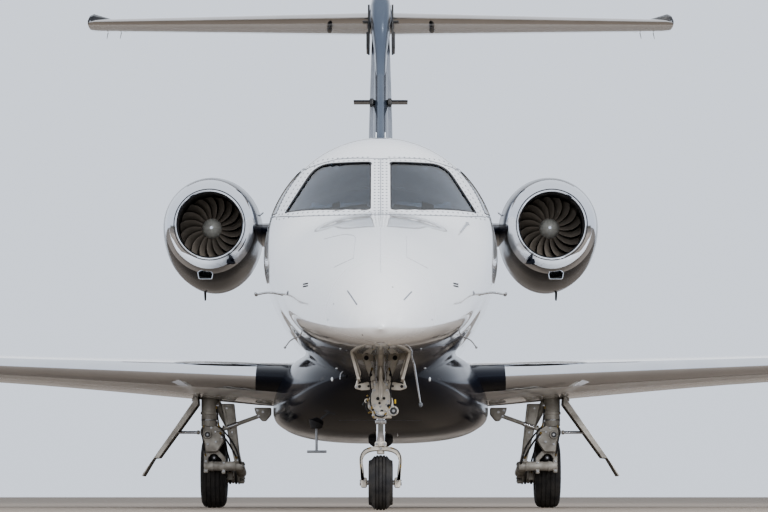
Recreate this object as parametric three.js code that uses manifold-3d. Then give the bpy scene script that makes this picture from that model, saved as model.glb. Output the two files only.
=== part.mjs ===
// Light business jet, parked on its gear. Millimetres, +Z up, nose towards -Y, port side +X.
// The origin is on the ground, under the middle of the aircraft's length and span.
import * as THREE from 'three';
import { mergeVertices } from 'three/addons/utils/BufferGeometryUtils.js';
import Module from 'manifold-3d';

const wasm = await Module();
wasm.setup();

// Overall sizes
const LENGTH = 15640;
const FIT_GAP = 0.3; // between pieces that touch
const WALL = 80; // skin, frames and trim of the cabin wall together
const LINING_GAP = 0.5; // between the cabin wall and what stands against it
const BULKHEAD_DEPTH = 60;
const RING_POINTS = 24;

// Fuselage barrels, as distances aft of the nose tip
const RADOME_END = 620;
const NOSE_END = 2500;
const FORWARD_END = 5420;
const CABIN_END = 9700;
const CABIN_FLOOR = 1250;
const FLOOR_DEPTH = 45;
const AFT_HOLLOW_END = 14200;
const AFT_WALL = 30;

// Station, half width, crown height, keel height and height of the widest line
const FUSELAGE = [
  [0, 12, 1322, 1298, 1310],
  [50, 108, 1408, 1222, 1314],
  [180, 206, 1500, 1172, 1328],
  [420, 315, 1612, 1132, 1358],
  [800, 432, 1746, 1108, 1410],
  [1300, 548, 1880, 1096, 1480],
  [1800, 642, 1986, 1088, 1560],
  [2300, 716, 2078, 1070, 1640],
  [2850, 782, 2178, 1038, 1735],
  [3300, 826, 2395, 1014, 1803],
  [3700, 858, 2600, 1000, 1860],
  [4100, 884, 2775, 992, 1900],
  [4500, 899, 2855, 990, 1920],
  [5000, 905, 2882, 990, 1932],
  [5420, 905, 2885, 990, 1935],
  [9700, 905, 2885, 990, 1935],
  [10500, 892, 2885, 1062, 1957],
  [11300, 842, 2872, 1230, 2008],
  [12100, 750, 2830, 1462, 2094],
  [12900, 616, 2758, 1722, 2202],
  [13700, 438, 2648, 1984, 2308],
  [14250, 286, 2548, 2152, 2348],
  [14600, 150, 2452, 2248, 2350],
];

// Station, half width, top, bottom and height of the widest line of the belly fairing
const FAIRING = [
  [4700, 120, 1120, 1000, 1060],
  [5000, 360, 1180, 880, 1020],
  [5400, 560, 1260, 730, 960],
  [5900, 700, 1320, 625, 900],
  [6400, 800, 1350, 575, 850],
  [6900, 870, 1360, 560, 820],
  [7600, 905, 1360, 556, 810],
  [9200, 905, 1355, 560, 812],
  [9900, 800, 1340, 628, 850],
  [10600, 560, 1320, 790, 980],
  [11200, 280, 1300, 1120, 1210],
];
const FAIRING_SQUARENESS = 2.6;

// Round antenna under the fairing
const ANTENNA_DOME = { place: 6500, radius: 100, top: 600, bottom: 490 };
// Wing, port side: span place, leading edge station, chord, height, thickness ratio, incidence and cant in degrees
const WING = [
  [500, 6536, 3230, 1058, 0.115, 2.4, 3],
  [1030, 6800, 3010, 1088, 0.112, 2.2, 3],
  [2900, 7732, 2150, 1190, 0.11, 1.2, 3],
  [7250, 9901, 1010, 1424, 0.105, 0, 3],
  [7560, 10070, 930, 1450, 0.1, 0, 20],
  [7720, 10240, 800, 1530, 0.095, 0, 52],
  [7800, 10400, 690, 1660, 0.09, 0, 74],
  [7950, 10900, 370, 2330, 0.085, 0, 78],
];
const FLAP_SPAN = [1260, 4560];
const AILERON_SPAN = [4640, 7040];
const WING_HINGE_RATIO = 0.74;
const SURFACE_GAP = 12; // round the nose of a control surface
const SURFACE_END_GAP = 12;
const HINGE_PIN_RADIUS = 12;

// Tailplane, port side, with the wing's columns
const TAILPLANE = [
  [-20, 13554, 1645, 4863, 0.105, 0, 1],
  [2900, 14390, 920, 4913, 0.09, 0, 1],
  [2985, 14490, 800, 4915, 0.07, 0, 1],
];
const ELEVATOR_SPAN = [150, 2640];
const ELEVATOR_HINGE_RATIO = 0.68;
// Height, leading edge station, chord, thickness ratio
const FIN = [
  [2500, 11000, 3500, 0.074],
  [2850, 11450, 3150, 0.079],
  [4785, 13560, 1560, 0.108],
];
// The fin's hollow box between its spars: from and to along the chord, top and wall thickness
const FIN_BOX = { from: 0.1, to: 0.6, top: 4600, wall: 26 };
const RUDDER_HEIGHTS = [3040, 4560];
const RUDDER_HINGE_RATIO = 0.7;
// Station, half width, top and bottom of the bullet fairing on the fin
const BULLET = [
  [13150, 22, 4893, 4828],
  [13190, 60, 4938, 4768],
  [13270, 90, 4985, 4706],
  [13420, 106, 5032, 4668],
  [13700, 113, 5074, 4672],
  [14100, 116, 5108, 4700],
  [14500, 116, 5123, 4715],
  [15000, 92, 5095, 4749],
  [15400, 52, 5015, 4803],
  [15640, 10, 4925, 4877],
];
// Raised horn at the tailplane's tip: outline of (x, height) corners, and its heights along the chord
const TAIL_HORN = [[2630, 4915], [2925, 5010], [2968, 4990], [2984, 4940], [2984, 4905], [2630, 4905]];
const TAILPLANE_TIP = 4915;
const TAIL_HORN_SHARES = [[14480, 0.7], [14560, 1], [14950, 0.4]];
// Small blades on the fin's sides
const FIN_BLADE = { halfSpan: 264, from: 12680, to: 12980, low: 3930, high: 3946 };

// Engines
const ENGINE_X = 1520;
const ENGINE_Z = 2506;
// Station, half width, rise above and drop below the engine's axis
const NACELLE = [
  [9300, 326, 326, 326],
  [9316, 352, 352, 352],
  [9370, 382, 384, 392],
  [9480, 408, 416, 440],
  [9700, 430, 446, 496],
  [10150, 447, 478, 552],
  [10700, 440, 474, 546],
  [11250, 402, 434, 474],
  [11750, 342, 366, 382],
  [12150, 292, 300, 304],
];
const LIP_END = 9450;
// Station and radius of the duct inside
const DUCT = [
  [9300, 326],
  [9318, 304],
  [9370, 290],
  [9480, 284],
  [9760, 292],
  [9960, 292],
  [10400, 322],
  [11300, 318],
  [12150, 274],
];
const FAN_STATION = 9880;
const FAN_BLADES = 18;
const FAN_TIP = 283;
const STATOR_VANES = 8;
// Station and radius of the engine core behind the fan
const CORE = [
  [9965, 0],
  [9965, 150],
  [10250, 205],
  [11200, 212],
  [11900, 180],
  [12260, 150],
  [12260, 128],
  [12180, 112],
  [12330, 60],
  [12440, 0],
];
// Span place, leading edge station, chord, height and thickness of the pylon
const PYLON = [
  [560, 9820, 2460, 2500, 205],
  [1240, 10060, 2000, 2500, 190],
];

// Landing gear
const NOSE_GEAR_STATION = 2200;
const NOSE_TRAIL = 45;
const NOSE_SHOULDERS = [[0.97, 38], [0.76, 31], [0.5, 6], [0.2, 0]];
const NOSE_TYRE = { radius: 195, halfWidth: 87, rim: 96, axle: 17, shoulders: NOSE_SHOULDERS };
const NOSE_BAY = { halfWidth: 217, from: 1500, to: 2420, roof: 1400 };
const NOSE_DOOR = { from: 1680, to: 2300, top: 1200, bend: 1095, bottom: 912, foldIn: 50, thickness: 26 };
const MAIN_STATION = 8350;
const MAIN_LEG_STATION = 7900;
const MAIN_TRACK = 1432;
const MAIN_LEG_X = 1457;
const MAIN_SHOULDERS = [[0.93, 44], [0.78, 16], [0.4, 0]];
const MAIN_TYRE = { radius: 300, halfWidth: 112, rim: 148, axle: 32, shoulders: MAIN_SHOULDERS };
const MAIN_BAY = { from: 7740, to: 8120, inboard: 1080, outboard: 1560, roof: 1050 };
const WHEEL_WELL = { x: 760, station: 8350, radius: 345, roof: 960 };

// Doors and windows: corners are distances aft of the nose tip, or across, and heights
const WINDSCREEN = [[77, 2190], [77, 2598], [483, 2600], [706, 2214]];
const WINDSCREEN_RADII = [22, 22, 110, 15];
const SIDE_WINDOW = [[3885, 2226], [4240, 2572], [4440, 2580], [4500, 2252]];
const ENTRY_DOOR = { from: 4620, to: 5340, sill: 1262, head: 2640, radius: 150, gap: 6 };
const CABIN_WINDOW = { width: 290, height: 400, middle: 2130, radius: 130 };
const PORT_WINDOWS = [5900, 6720, 7540, 8360];
const STARBOARD_WINDOWS = [5900, 6720, 7540, 8360, 9100];
const WINDOW_STRIP = { depth: 4, halfHeight: 30 }; // carries the cabin panes, inside the wall
const GLASS_INSET = 7;
const GLASS_THICKNESS = 24;

const station = (distance) => distance - LENGTH / 2;

// Materials
function paint(color, metalness, roughness) {
  return new THREE.MeshStandardMaterial({ color, metalness, roughness });
}
const pearlPaint = paint('#e4e3df', 0.1, 0.25);
const navyPaint = paint('#12151f', 0.3, 0.12);
const darkPaint = paint('#1d2026', 0.3, 0.2);
const polishedMetal = paint('#c2c4c8', 1, 0.18);
const gearMetal = paint('#8f9296', 0.8, 0.4);
const darkMetal = paint('#2b2d31', 0.9, 0.35);
const rubber = paint('#17171a', 0, 0.85);
const glass = paint('#3b4652', 0.1, 0.06);
const leather = paint('#c9bda8', 0, 0.6);
const trim = paint('#4a4d52', 0.1, 0.6);

// Geometry helpers
function signedVolume(position, index) {
  let volume = 0;
  const [a, b, c] = [new THREE.Vector3(), new THREE.Vector3(), new THREE.Vector3()];
  for (let i = 0; i < index.length; i += 3) {
    a.fromBufferAttribute(position, index[i]);
    b.fromBufferAttribute(position, index[i + 1]);
    c.fromBufferAttribute(position, index[i + 2]);
    volume += a.dot(b.cross(c)) / 6;
  }
  return volume;
}

function toSolid(geometry) {
  const plain = new THREE.BufferGeometry();
  plain.setAttribute('position', geometry.getAttribute('position'));
  if (geometry.index) plain.setIndex(geometry.index);
  const merged = mergeVertices(plain, 1e-3);
  const triangles = [];
  const index = merged.index.array;
  for (let i = 0; i < index.length; i += 3) {
    const [a, b, c] = [index[i], index[i + 1], index[i + 2]];
    if (a !== b && b !== c && c !== a) triangles.push(a, b, c);
  }
  if (signedVolume(merged.getAttribute('position'), triangles) < 0) triangles.reverse();
  return new wasm.Manifold(new wasm.Mesh({
    numProp: 3,
    vertProperties: new Float32Array(merged.getAttribute('position').array),
    triVerts: new Uint32Array(triangles),
  }));
}

function toGeometry(solid) {
  const mesh = solid.getMesh();
  const geometry = new THREE.BufferGeometry();
  geometry.setAttribute('position', new THREE.BufferAttribute(mesh.vertProperties, 3));
  geometry.setIndex(new THREE.BufferAttribute(mesh.triVerts, 1));
  geometry.computeVertexNormals();
  return geometry;
}

const join = (...solids) => solids.reduce((all, next) => all.add(next));
const cut = (solid, ...tools) => tools.reduce((rest, tool) => rest.subtract(tool), solid);

function loft(rings) {
  const points = rings.flat();
  const count = rings[0].length;
  const index = [];
  for (let r = 0; r < rings.length - 1; r += 1) {
    for (let i = 0; i < count; i += 1) {
      const [a, b] = [r * count + i, r * count + (i + 1) % count];
      index.push(a, b, a + count, b, b + count, a + count);
    }
  }
  for (const [ring, first] of [[rings[0], 0], [rings.at(-1), (rings.length - 1) * count]]) {
    const middle = points.length;
    points.push([0, 1, 2].map((axis) => ring.reduce((sum, p) => sum + p[axis], 0) / count));
    for (let i = 0; i < count; i += 1) {
      const [a, b] = [first + i, first + (i + 1) % count];
      if (first === 0) index.push(b, a, middle);
      else index.push(a, b, middle);
    }
  }
  const geometry = new THREE.BufferGeometry();
  geometry.setAttribute('position', new THREE.Float32BufferAttribute(points.flat(), 3));
  geometry.setIndex(index);
  return toSolid(geometry);
}

// Smooth value of one column of a table at any place in its first column
function smoothColumn(table, column, place) {
  const last = table.length - 1;
  let row = table.findIndex(([start]) => start >= place);
  if (row < 0) row = last;
  row = Math.max(1, row);
  const at = (r) => table[THREE.MathUtils.clamp(r, 0, last)];
  const [before, from, to, after] = [at(row - 2), at(row - 1), at(row), at(row + 1)];
  const span = to[0] - from[0];
  const t = THREE.MathUtils.clamp((place - from[0]) / span, 0, 1);
  const slope = (low, high) => (high[0] > low[0] ? (high[column] - low[column]) / (high[0] - low[0]) : 0);
  const middle = slope(from, to);
  const steepest = 2.5 * Math.abs(middle);
  const limit = (value) => (value * middle <= 0 ? 0 : Math.sign(middle) * Math.min(Math.abs(value), steepest));
  const startSlope = row > 1 ? limit(slope(before, to)) : middle;
  const endSlope = row < last ? limit(slope(from, after)) : middle;
  const [t2, t3] = [t * t, t * t * t];
  return (2 * t3 - 3 * t2 + 1) * from[column] + (t3 - 2 * t2 + t) * span * startSlope
    + (3 * t2 - 2 * t3) * to[column] + (t3 - t2) * span * endSlope;
}

function box(x0, x1, y0, y1, z0, z1) {
  const geometry = new THREE.BoxGeometry(x1 - x0, y1 - y0, z1 - z0);
  return toSolid(geometry.translate((x0 + x1) / 2, (y0 + y1) / 2, (z0 + z1) / 2));
}

function rod(from, to, startRadius, endRadius = startRadius, sides = 6) {
  const [start, end] = [new THREE.Vector3(...from), new THREE.Vector3(...to)];
  const axis = end.clone().sub(start);
  const geometry = new THREE.CylinderGeometry(endRadius, startRadius, axis.length(), sides);
  const turn = new THREE.Quaternion().setFromUnitVectors(new THREE.Vector3(0, 1, 0), axis.normalize());
  const middle = start.add(end).multiplyScalar(0.5);
  return toSolid(geometry.applyQuaternion(turn).translate(middle.x, middle.y, middle.z));
}

// A profile of [along, radius] pairs turned about an axis through the origin
function turned(profile, axis, sides) {
  const points = profile.map(([along, radius]) => new THREE.Vector2(radius, along));
  const geometry = new THREE.LatheGeometry(points, sides);
  if (axis === 'x') geometry.rotateZ(-Math.PI / 2);
  if (axis === 'z') geometry.rotateX(Math.PI / 2);
  return toSolid(geometry);
}

// Closed outline with round corners; a corner's third number is a radius of its own
function roundedShape(corners, radius, steps = 2) {
  const points = corners.map(([u, v]) => new THREE.Vector2(u, v));
  const outline = [];
  points.forEach((corner, i) => {
    const cornerRadius = corners[i][2] ?? radius;
    if (cornerRadius === 0) {
      outline.push(corner);
      return;
    }
    const before = points.at(i - 1);
    const after = points[(i + 1) % points.length];
    const start = corner.clone().add(before.clone().sub(corner).setLength(cornerRadius));
    const end = corner.clone().add(after.clone().sub(corner).setLength(cornerRadius));
    outline.push(...new THREE.QuadraticBezierCurve(start, corner, end).getPoints(steps));
  });
  return new THREE.Shape(outline);
}

function extrude(shape, depth) {
  return new THREE.ExtrudeGeometry(shape, { depth, bevelEnabled: false, curveSegments: 6 });
}

// Outline of (x, z) corners pushed through along Y
function alongY(shape, from, to) {
  return toSolid(extrude(shape, to - from).rotateX(Math.PI / 2).translate(0, to, 0));
}

// Outline of (station, z) corners pushed through along X
function alongX(shape, from, to) {
  const geometry = extrude(shape, to - from);
  geometry.applyMatrix4(new THREE.Matrix4().set(0, 0, 1, from, 1, 0, 0, -LENGTH / 2, 0, 1, 0, 0, 0, 0, 0, 1));
  return toSolid(geometry);
}

const polygon = (corners) => new THREE.Shape(corners.map(([u, v]) => new THREE.Vector2(u, v)));

const model = new THREE.Group();

function addMesh(parent, name, solid, material) {
  const mesh = new THREE.Mesh(toGeometry(solid), material);
  mesh.name = name;
  parent.add(mesh);
  return mesh;
}

// Fuselage
function fuselageRing(place, inset) {
  const [halfWidth, crown, keel, belt] = [1, 2, 3, 4].map((column) => smoothColumn(FUSELAGE, column, place));
  return Array.from({ length: RING_POINTS }, (_, i) => {
    const angle = (2 * Math.PI * i) / RING_POINTS;
    const rise = Math.sin(angle) > 0 ? crown - belt : belt - keel;
    return [(halfWidth - inset) * Math.cos(angle), station(place), belt + (rise - inset) * Math.sin(angle)];
  });
}

function fuselageBarrel(from, to, inset = 0) {
  const extra = [3500];
  const places = [...FUSELAGE.map(([place]) => place), ...extra].sort((a, b) => a - b);
  const stations = [from, ...places.filter((place) => place > from + 1 && place < to - 1), to];
  return loft(stations.map((place) => fuselageRing(place, inset)));
}

function ovalRing(place, halfWidth, top, bottom, widest, squareness, count) {
  const power = 2 / squareness;
  const swell = (value) => Math.sign(value) * Math.abs(value) ** power;
  return Array.from({ length: count }, (_, i) => {
    const angle = (2 * Math.PI * i) / count;
    const reach = Math.sin(angle) > 0 ? top - widest : widest - bottom;
    return [halfWidth * swell(Math.cos(angle)), station(place), widest + reach * swell(Math.sin(angle))];
  });
}

function fairingBody(grow) {
  return loft(FAIRING.map(([place, halfWidth, top, bottom, widest]) => (
    ovalRing(place, halfWidth + grow, top + grow, bottom - grow, widest, FAIRING_SQUARENESS, RING_POINTS))));
}

const fuselageOutside = fuselageBarrel(0, FUSELAGE.at(-1)[0], -FIT_GAP);
const fairingOutside = fairingBody(FIT_GAP);

function windscreenShape(grow) {
  const [innerLow, innerHigh, outerHigh, outerLow] = WINDSCREEN;
  const corners = [[innerLow[0] - grow, innerLow[1] - grow], [innerHigh[0] - grow, innerHigh[1] + grow],
    [outerHigh[0] + grow, outerHigh[1] + grow], [outerLow[0] + 1.6 * grow, outerLow[1] - grow]];
  return roundedShape(corners.map((corner, i) => [...corner, WINDSCREEN_RADII[i]]), 0);
}

function windscreenCut(side, grow) {
  const prism = alongY(windscreenShape(grow), station(2600), station(4400));
  return side > 0 ? prism : prism.mirror([1, 0, 0]);
}

function sideWindowShape(grow) {
  const [[a, b], [c, d], [e, f], [g, h]] = SIDE_WINDOW;
  const corners = [[a - 2 * grow, b - grow], [c - grow, d + grow], [e + grow, f + grow], [g + grow, h - grow]];
  return roundedShape(corners, 70);
}

function sidePrism(shape, side, depth = 1200) {
  return side > 0 ? alongX(shape, 300, depth) : alongX(shape, -depth, -300);
}

function doorShape(grow) {
  const { from, to, sill, head, radius } = ENTRY_DOOR;
  const low = sill - (grow > 0 ? FIT_GAP : 0); // the hinge is along the sill
  const corners = [[from - grow, low, 0], [to + grow, low, 0], [to + grow, head + grow], [from - grow, head + grow]];
  return roundedShape(corners, radius + grow);
}

function cabinWindowShape(place, grow) {
  const { width, height, middle, radius } = CABIN_WINDOW;
  const [u, v] = [width / 2 + grow, height / 2 + grow];
  const [from, to] = [place - u, place + u];
  return roundedShape([[from, middle - v], [to, middle - v], [to, middle + v], [from, middle + v]], radius);
}

function skinBetween(from, to, outerInset, innerInset) {
  return cut(fuselageBarrel(from, to, outerInset), fuselageBarrel(from - 50, to + 50, innerInset));
}

function buildFuselage() {
  const bay = NOSE_BAY;
  const noseBay = box(-bay.halfWidth, bay.halfWidth, station(bay.from), station(bay.to), 900, bay.roof);
  addMesh(model, 'radome', fuselageBarrel(0, RADOME_END), pearlPaint);
  addMesh(model, 'nose_section', cut(fuselageBarrel(RADOME_END + FIT_GAP, NOSE_END), noseBay), pearlPaint);

  const cockpitFront = 2720;
  const forwardInside = fuselageBarrel(cockpitFront, FORWARD_END + 50, WALL);
  const forward = cut(
    fuselageBarrel(NOSE_END + FIT_GAP, FORWARD_END), forwardInside,
    windscreenCut(1, 0), windscreenCut(-1, 0),
    sidePrism(sideWindowShape(0), 1), sidePrism(sideWindowShape(0), -1),
    sidePrism(doorShape(ENTRY_DOOR.gap), 1),
  );
  addMesh(model, 'forward_fuselage', forward, pearlPaint);

  const windows = [...PORT_WINDOWS.map((place) => sidePrism(cabinWindowShape(place, 0), 1)),
    ...STARBOARD_WINDOWS.map((place) => sidePrism(cabinWindowShape(place, 0), -1))];
  const cabin = cut(
    fuselageBarrel(FORWARD_END + FIT_GAP, CABIN_END),
    fuselageBarrel(FORWARD_END - 50, CABIN_END + 50, WALL), ...windows,
  );
  addMesh(model, 'cabin_fuselage', cabin, pearlPaint);

  const ventralOutline = polygon([[12500, 1700], [14000, 2150], [14150, 1900], [13900, 1660], [13300, 1560]]);
  const ventralFin = cut(alongX(ventralOutline, -22, 22), fuselageBarrel(CABIN_END, 14400, 10));
  const aftInside = fuselageBarrel(CABIN_END - 50, AFT_HOLLOW_END, AFT_WALL);
  const aft = join(cut(fuselageBarrel(CABIN_END + FIT_GAP, FUSELAGE.at(-1)[0]), aftInside), ventralFin);
  const bulkhead = fuselageBarrel(CABIN_END - BULKHEAD_DEPTH, CABIN_END - FIT_GAP, WALL + LINING_GAP);
  addMesh(model, 'aft_bulkhead', bulkhead, trim);
  addMesh(model, 'aft_fuselage', aft, pearlPaint);
}

function buildGlass() {
  const pane = skinBetween(NOSE_END, FORWARD_END, GLASS_INSET, GLASS_INSET + GLASS_THICKNESS);
  for (const [name, side] of [['left', 1], ['right', -1]]) {
    addMesh(model, `windscreen_${name}`, pane.intersect(windscreenCut(side, -FIT_GAP)), glass);
    addMesh(model, `side_window_${name}`, pane.intersect(sidePrism(sideWindowShape(-FIT_GAP), side)), glass);
    const places = side > 0 ? PORT_WINDOWS : STARBOARD_WINDOWS;
    const innerFace = WALL + FIT_GAP + WINDOW_STRIP.depth;
    const outer = skinBetween(FORWARD_END, CABIN_END, GLASS_INSET, innerFace);
    const liner = skinBetween(FORWARD_END, CABIN_END, WALL + FIT_GAP, innerFace);
    const panes = places.map((place) => outer.intersect(sidePrism(cabinWindowShape(place, -FIT_GAP), side)));
    const [first, last] = [places[0], places.at(-1)];
    const [low, high] = [-1, 1].map((way) => CABIN_WINDOW.middle + way * WINDOW_STRIP.halfHeight);
    const stripShape = polygon([[first, low], [last, low], [last, high], [first, high]]);
    const strip = liner.intersect(sidePrism(stripShape, side));
    addMesh(model, `cabin_windows_${name}`, join(strip, ...panes), glass);
  }
}

function buildEntryDoor() {
  const skin = skinBetween(4400, FORWARD_END, 0, WALL);
  const panel = skin.intersect(sidePrism(doorShape(0), 1));
  const stepDepth = 150;
  const wallInside = fuselageBarrel(4390, 5510, WALL - 10);
  const steps = [1480, 1720, 1960].map((height) => {
    const shelf = box(560, 860, station(4740), station(5200), height, height + 28);
    return shelf.intersect(wallInside).subtract(fuselageBarrel(4390, 5510, WALL + stepDepth));
  });
  addMesh(model, 'entry_door', join(panel, ...steps), pearlPaint);
}

function buildCabin() {
  const cabinEnd = CABIN_END - BULKHEAD_DEPTH - FIT_GAP;
  const inside = fuselageBarrel(2750, cabinEnd, WALL + LINING_GAP);
  const doorClear = box(520, 1200, station(ENTRY_DOOR.from - 20), station(ENTRY_DOOR.to + 20), 1000, 1400);
  const floor = box(-900, 900, station(2760), station(cabinEnd), CABIN_FLOOR - FLOOR_DEPTH, CABIN_FLOOR);
  addMesh(model, 'cabin_floor', cut(inside.intersect(floor), doorClear), trim);
  const panelFoot = CABIN_FLOOR + FIT_GAP;
  const panelShape = polygon([[2880, panelFoot], [3060, panelFoot], [3120, 1750], [3300, 2100],
    [3280, 2165], [2960, 2150], [2800, 2060], [2800, 1700]]);
  addMesh(model, 'instrument_panel', inside.intersect(alongX(panelShape, -700, 700)), trim);
}

// Outline of (y, z) corners as a slab of one width, in the middle of the seat
function seatSlab(corners, radius, width) {
  const across = new THREE.Matrix4().set(0, 0, 1, -width / 2, 1, 0, 0, 0, 0, 1, 0, 0, 0, 0, 0, 1);
  return toSolid(extrude(roundedShape(corners, radius), width).applyMatrix4(across));
}

function seatSolid(width, backHeight) {
  const base = box(-100, 100, -200, 180, 0, 260);
  const cushion = seatSlab([[-280, 250], [230, 250], [230, 400], [-280, 430]], 45, width);
  const back = seatSlab([[150, 300], [270, 300], [380, backHeight], [280, backHeight]], 40, width - 20);
  return join(base, cushion, back);
}

function buildSeats() {
  const seats = [
    ['pilot_seat', 330, 3680, 1, 440, 1060],
    ['copilot_seat', -330, 3680, 1, 440, 1060],
    ['cabin_seat_1', 370, 6150, -1, 500, 1000],
    ['cabin_seat_2', -370, 6150, -1, 500, 1000],
    ['cabin_seat_3', 370, 7350, 1, 500, 1000],
    ['cabin_seat_4', -370, 7350, 1, 500, 1000],
  ];
  for (const [name, x, place, facing, width, height] of seats) {
    const seat = addMesh(model, name, seatSolid(width, height), leather);
    seat.position.set(x, station(place), CABIN_FLOOR + FIT_GAP);
    seat.rotation.z = facing > 0 ? 0 : Math.PI;
  }
}

// Wings and tail surfaces
const AEROFOIL = [1, 0.74, 0.5, 0.3, 0.15, 0.06, 0.018, 0.003];
const TRAILING_EDGE = 0.004;

function halfThickness(along, ratio) {
  const front = 0.2969 * Math.sqrt(along) - 0.126 * along;
  const shape = front - 0.3516 * along ** 2 + 0.2843 * along ** 3 - 0.1036 * along ** 4;
  return 5 * ratio * shape + TRAILING_EDGE * along / 2;
}

// Closed ring of [along chord, across chord] pairs for a unit chord
function aerofoilOutline(ratio) {
  const upper = AEROFOIL.map((along) => [along, halfThickness(along, ratio)]);
  const lower = [...AEROFOIL].reverse().map((along) => [along, -halfThickness(along, ratio)]);
  return [...upper, [0, 0], ...lower];
}

function wingRing([x, leading, chord, height, ratio, incidence, cant], grow) {
  const [tilt, lean] = [THREE.MathUtils.degToRad(incidence), THREE.MathUtils.degToRad(cant)];
  const grownChord = chord + 4 * grow;
  return aerofoilOutline(ratio).map(([along, across]) => {
    const back = along * grownChord * Math.cos(tilt) - 2 * grow;
    const up = across * chord + Math.sign(across) * grow - along * chord * Math.sin(tilt);
    return [x - up * Math.sin(lean), station(leading + back), height + up * Math.cos(lean)];
  });
}

const wingLoft = (table, grow = 0) => loft(table.map((row) => wingRing(row, grow)));

const columnAt = (table, column, place) => {
  const row = Math.max(1, table.findIndex(([start]) => start >= place));
  const [from, to] = [table[row - 1], table[row]];
  return THREE.MathUtils.mapLinear(place, from[0], to[0], from[column], to[column]);
};

// Hinge point of a spanwise surface at one span place, with the half thickness there
function hingeAt(table, ratio, x) {
  const [leading, chord, height, thickness, incidence] = [1, 2, 3, 4, 5].map((column) => columnAt(table, column, x));
  const drop = Math.sin(THREE.MathUtils.degToRad(incidence)) * ratio * chord;
  const half = halfThickness(ratio, thickness) * chord;
  return { point: [x, station(leading + ratio * chord), height - drop], half };
}

function spanSurface(table, ratio, [inner, outer], whole) {
  const [a, b] = [hingeAt(table, ratio, inner), hingeAt(table, ratio, outer)];
  const along = new THREE.Vector3(...b.point).sub(new THREE.Vector3(...a.point)).normalize();
  const reach = 1600;
  const middle = (a.point[2] + b.point[2]) / 2;
  const region = (gap) => {
    const corner = ([x, y], out, back) => [x + along.x * out - along.y * back, y + along.y * out + along.x * back];
    const front = [corner(a.point, -gap, 0), corner(b.point, gap, 0)];
    const back = [corner(b.point, gap, reach), corner(a.point, -gap, reach)];
    return toSolid(extrude(polygon([...front, ...back]), reach).translate(0, 0, middle - reach / 2));
  };
  const shift = (point, distance) => point.map((value, axis) => value + along.getComponent(axis) * distance);
  const nose = rod(a.point, b.point, a.half - 1.5, b.half - 1.5, 12);
  const [cutStart, cutEnd] = [shift(a.point, -SURFACE_END_GAP), shift(b.point, SURFACE_END_GAP)];
  const noseCut = rod(cutStart, cutEnd, a.half + SURFACE_GAP, b.half + SURFACE_GAP, 12);
  const pinReach = SURFACE_END_GAP - FIT_GAP;
  const pin = rod(shift(a.point, -pinReach), shift(b.point, pinReach), HINGE_PIN_RADIUS);
  return {
    surface: join(whole.intersect(region(0)), nose, pin),
    opening: join(region(SURFACE_END_GAP), noseCut),
  };
}

// The port wheel's well and the slot for its leg
function mainGearOpening() {
  const well = WHEEL_WELL;
  const [wellFoot, wellRoof] = [400, well.roof].map((height) => [well.x, station(well.station), height]);
  const slot = box(well.x, 1200, station(MAIN_BAY.from), station(MAIN_BAY.to), 400, well.roof);
  return join(rod(wellFoot, wellRoof, well.radius, well.radius, 28), slot);
}

function buildWings() {
  const whole = wingLoft(WING);
  const flap = spanSurface(WING, WING_HINGE_RATIO, FLAP_SPAN, whole);
  const aileron = spanSurface(WING, WING_HINGE_RATIO, AILERON_SPAN, whole);
  const bay = MAIN_BAY;
  const legBay = box(bay.inboard - 100, bay.outboard, station(bay.from), station(bay.to), 700, bay.roof);
  const jackPad = rod([2500, station(8450), 1010], [2500, station(8450), 1200], 45, 45, 16);
  const gearOpening = mainGearOpening();
  const wing = join(cut(whole, flap.opening, aileron.opening, fairingOutside, legBay, gearOpening), jackPad);
  for (const [name, side] of [['left', 1], ['right', -1]]) {
    const group = new THREE.Group();
    group.scale.x = side;
    addMesh(group, `wing_${name}`, wing, pearlPaint);
    addMesh(group, `flap_${name}`, flap.surface, pearlPaint);
    addMesh(group, `aileron_${name}`, aileron.surface, pearlPaint);
    model.add(group);
  }
  const { place, radius, top, bottom } = ANTENNA_DOME;
  const shoulder = (top + 2 * bottom) / 3;
  const dome = join(
    rod([0, station(place), top], [0, station(place), shoulder], radius, 0.9 * radius, 20),
    rod([0, station(place), shoulder], [0, station(place), bottom], 0.9 * radius, radius / 2, 20),
  );
  const body = join(fairingBody(0), dome);
  const fairing = cut(body, fuselageOutside, gearOpening, gearOpening.mirror([1, 0, 0]));
  addMesh(model, 'belly_fairing', fairing, navyPaint);
}

function buildTailplane() {
  const horn = loft(TAIL_HORN_SHARES.map(([place, share]) => (
    TAIL_HORN.map(([x, height]) => [x, station(place), TAILPLANE_TIP + (height - TAILPLANE_TIP) * share]))));
  const half = join(wingLoft(TAILPLANE), horn);
  const whole = join(half, half.mirror([1, 0, 0]));
  const left = spanSurface(TAILPLANE, ELEVATOR_HINGE_RATIO, ELEVATOR_SPAN, half);
  addMesh(model, 'tailplane', cut(whole, left.opening, left.opening.mirror([1, 0, 0])), pearlPaint);
  for (const [name, side] of [['left', 1], ['right', -1]]) {
    const group = new THREE.Group();
    group.scale.x = side;
    addMesh(group, `elevator_${name}`, left.surface, pearlPaint);
    model.add(group);
  }
  const grown = wingLoft(TAILPLANE, FIT_GAP);
  addMesh(model, 'tail_bullet', cut(bulletBody(0), grown, grown.mirror([1, 0, 0])), pearlPaint);
}

function bulletBody(grow) {
  return loft(BULLET.map(([place, halfWidth, top, bottom]) => (
    ovalRing(place, halfWidth + grow, top + grow, bottom - grow, (top + bottom) / 2, 2, 16))));
}

function finRing([height, leading, chord, ratio]) {
  return aerofoilOutline(ratio).map(([along, across]) => [across * chord, station(leading + along * chord), height]);
}

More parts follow.
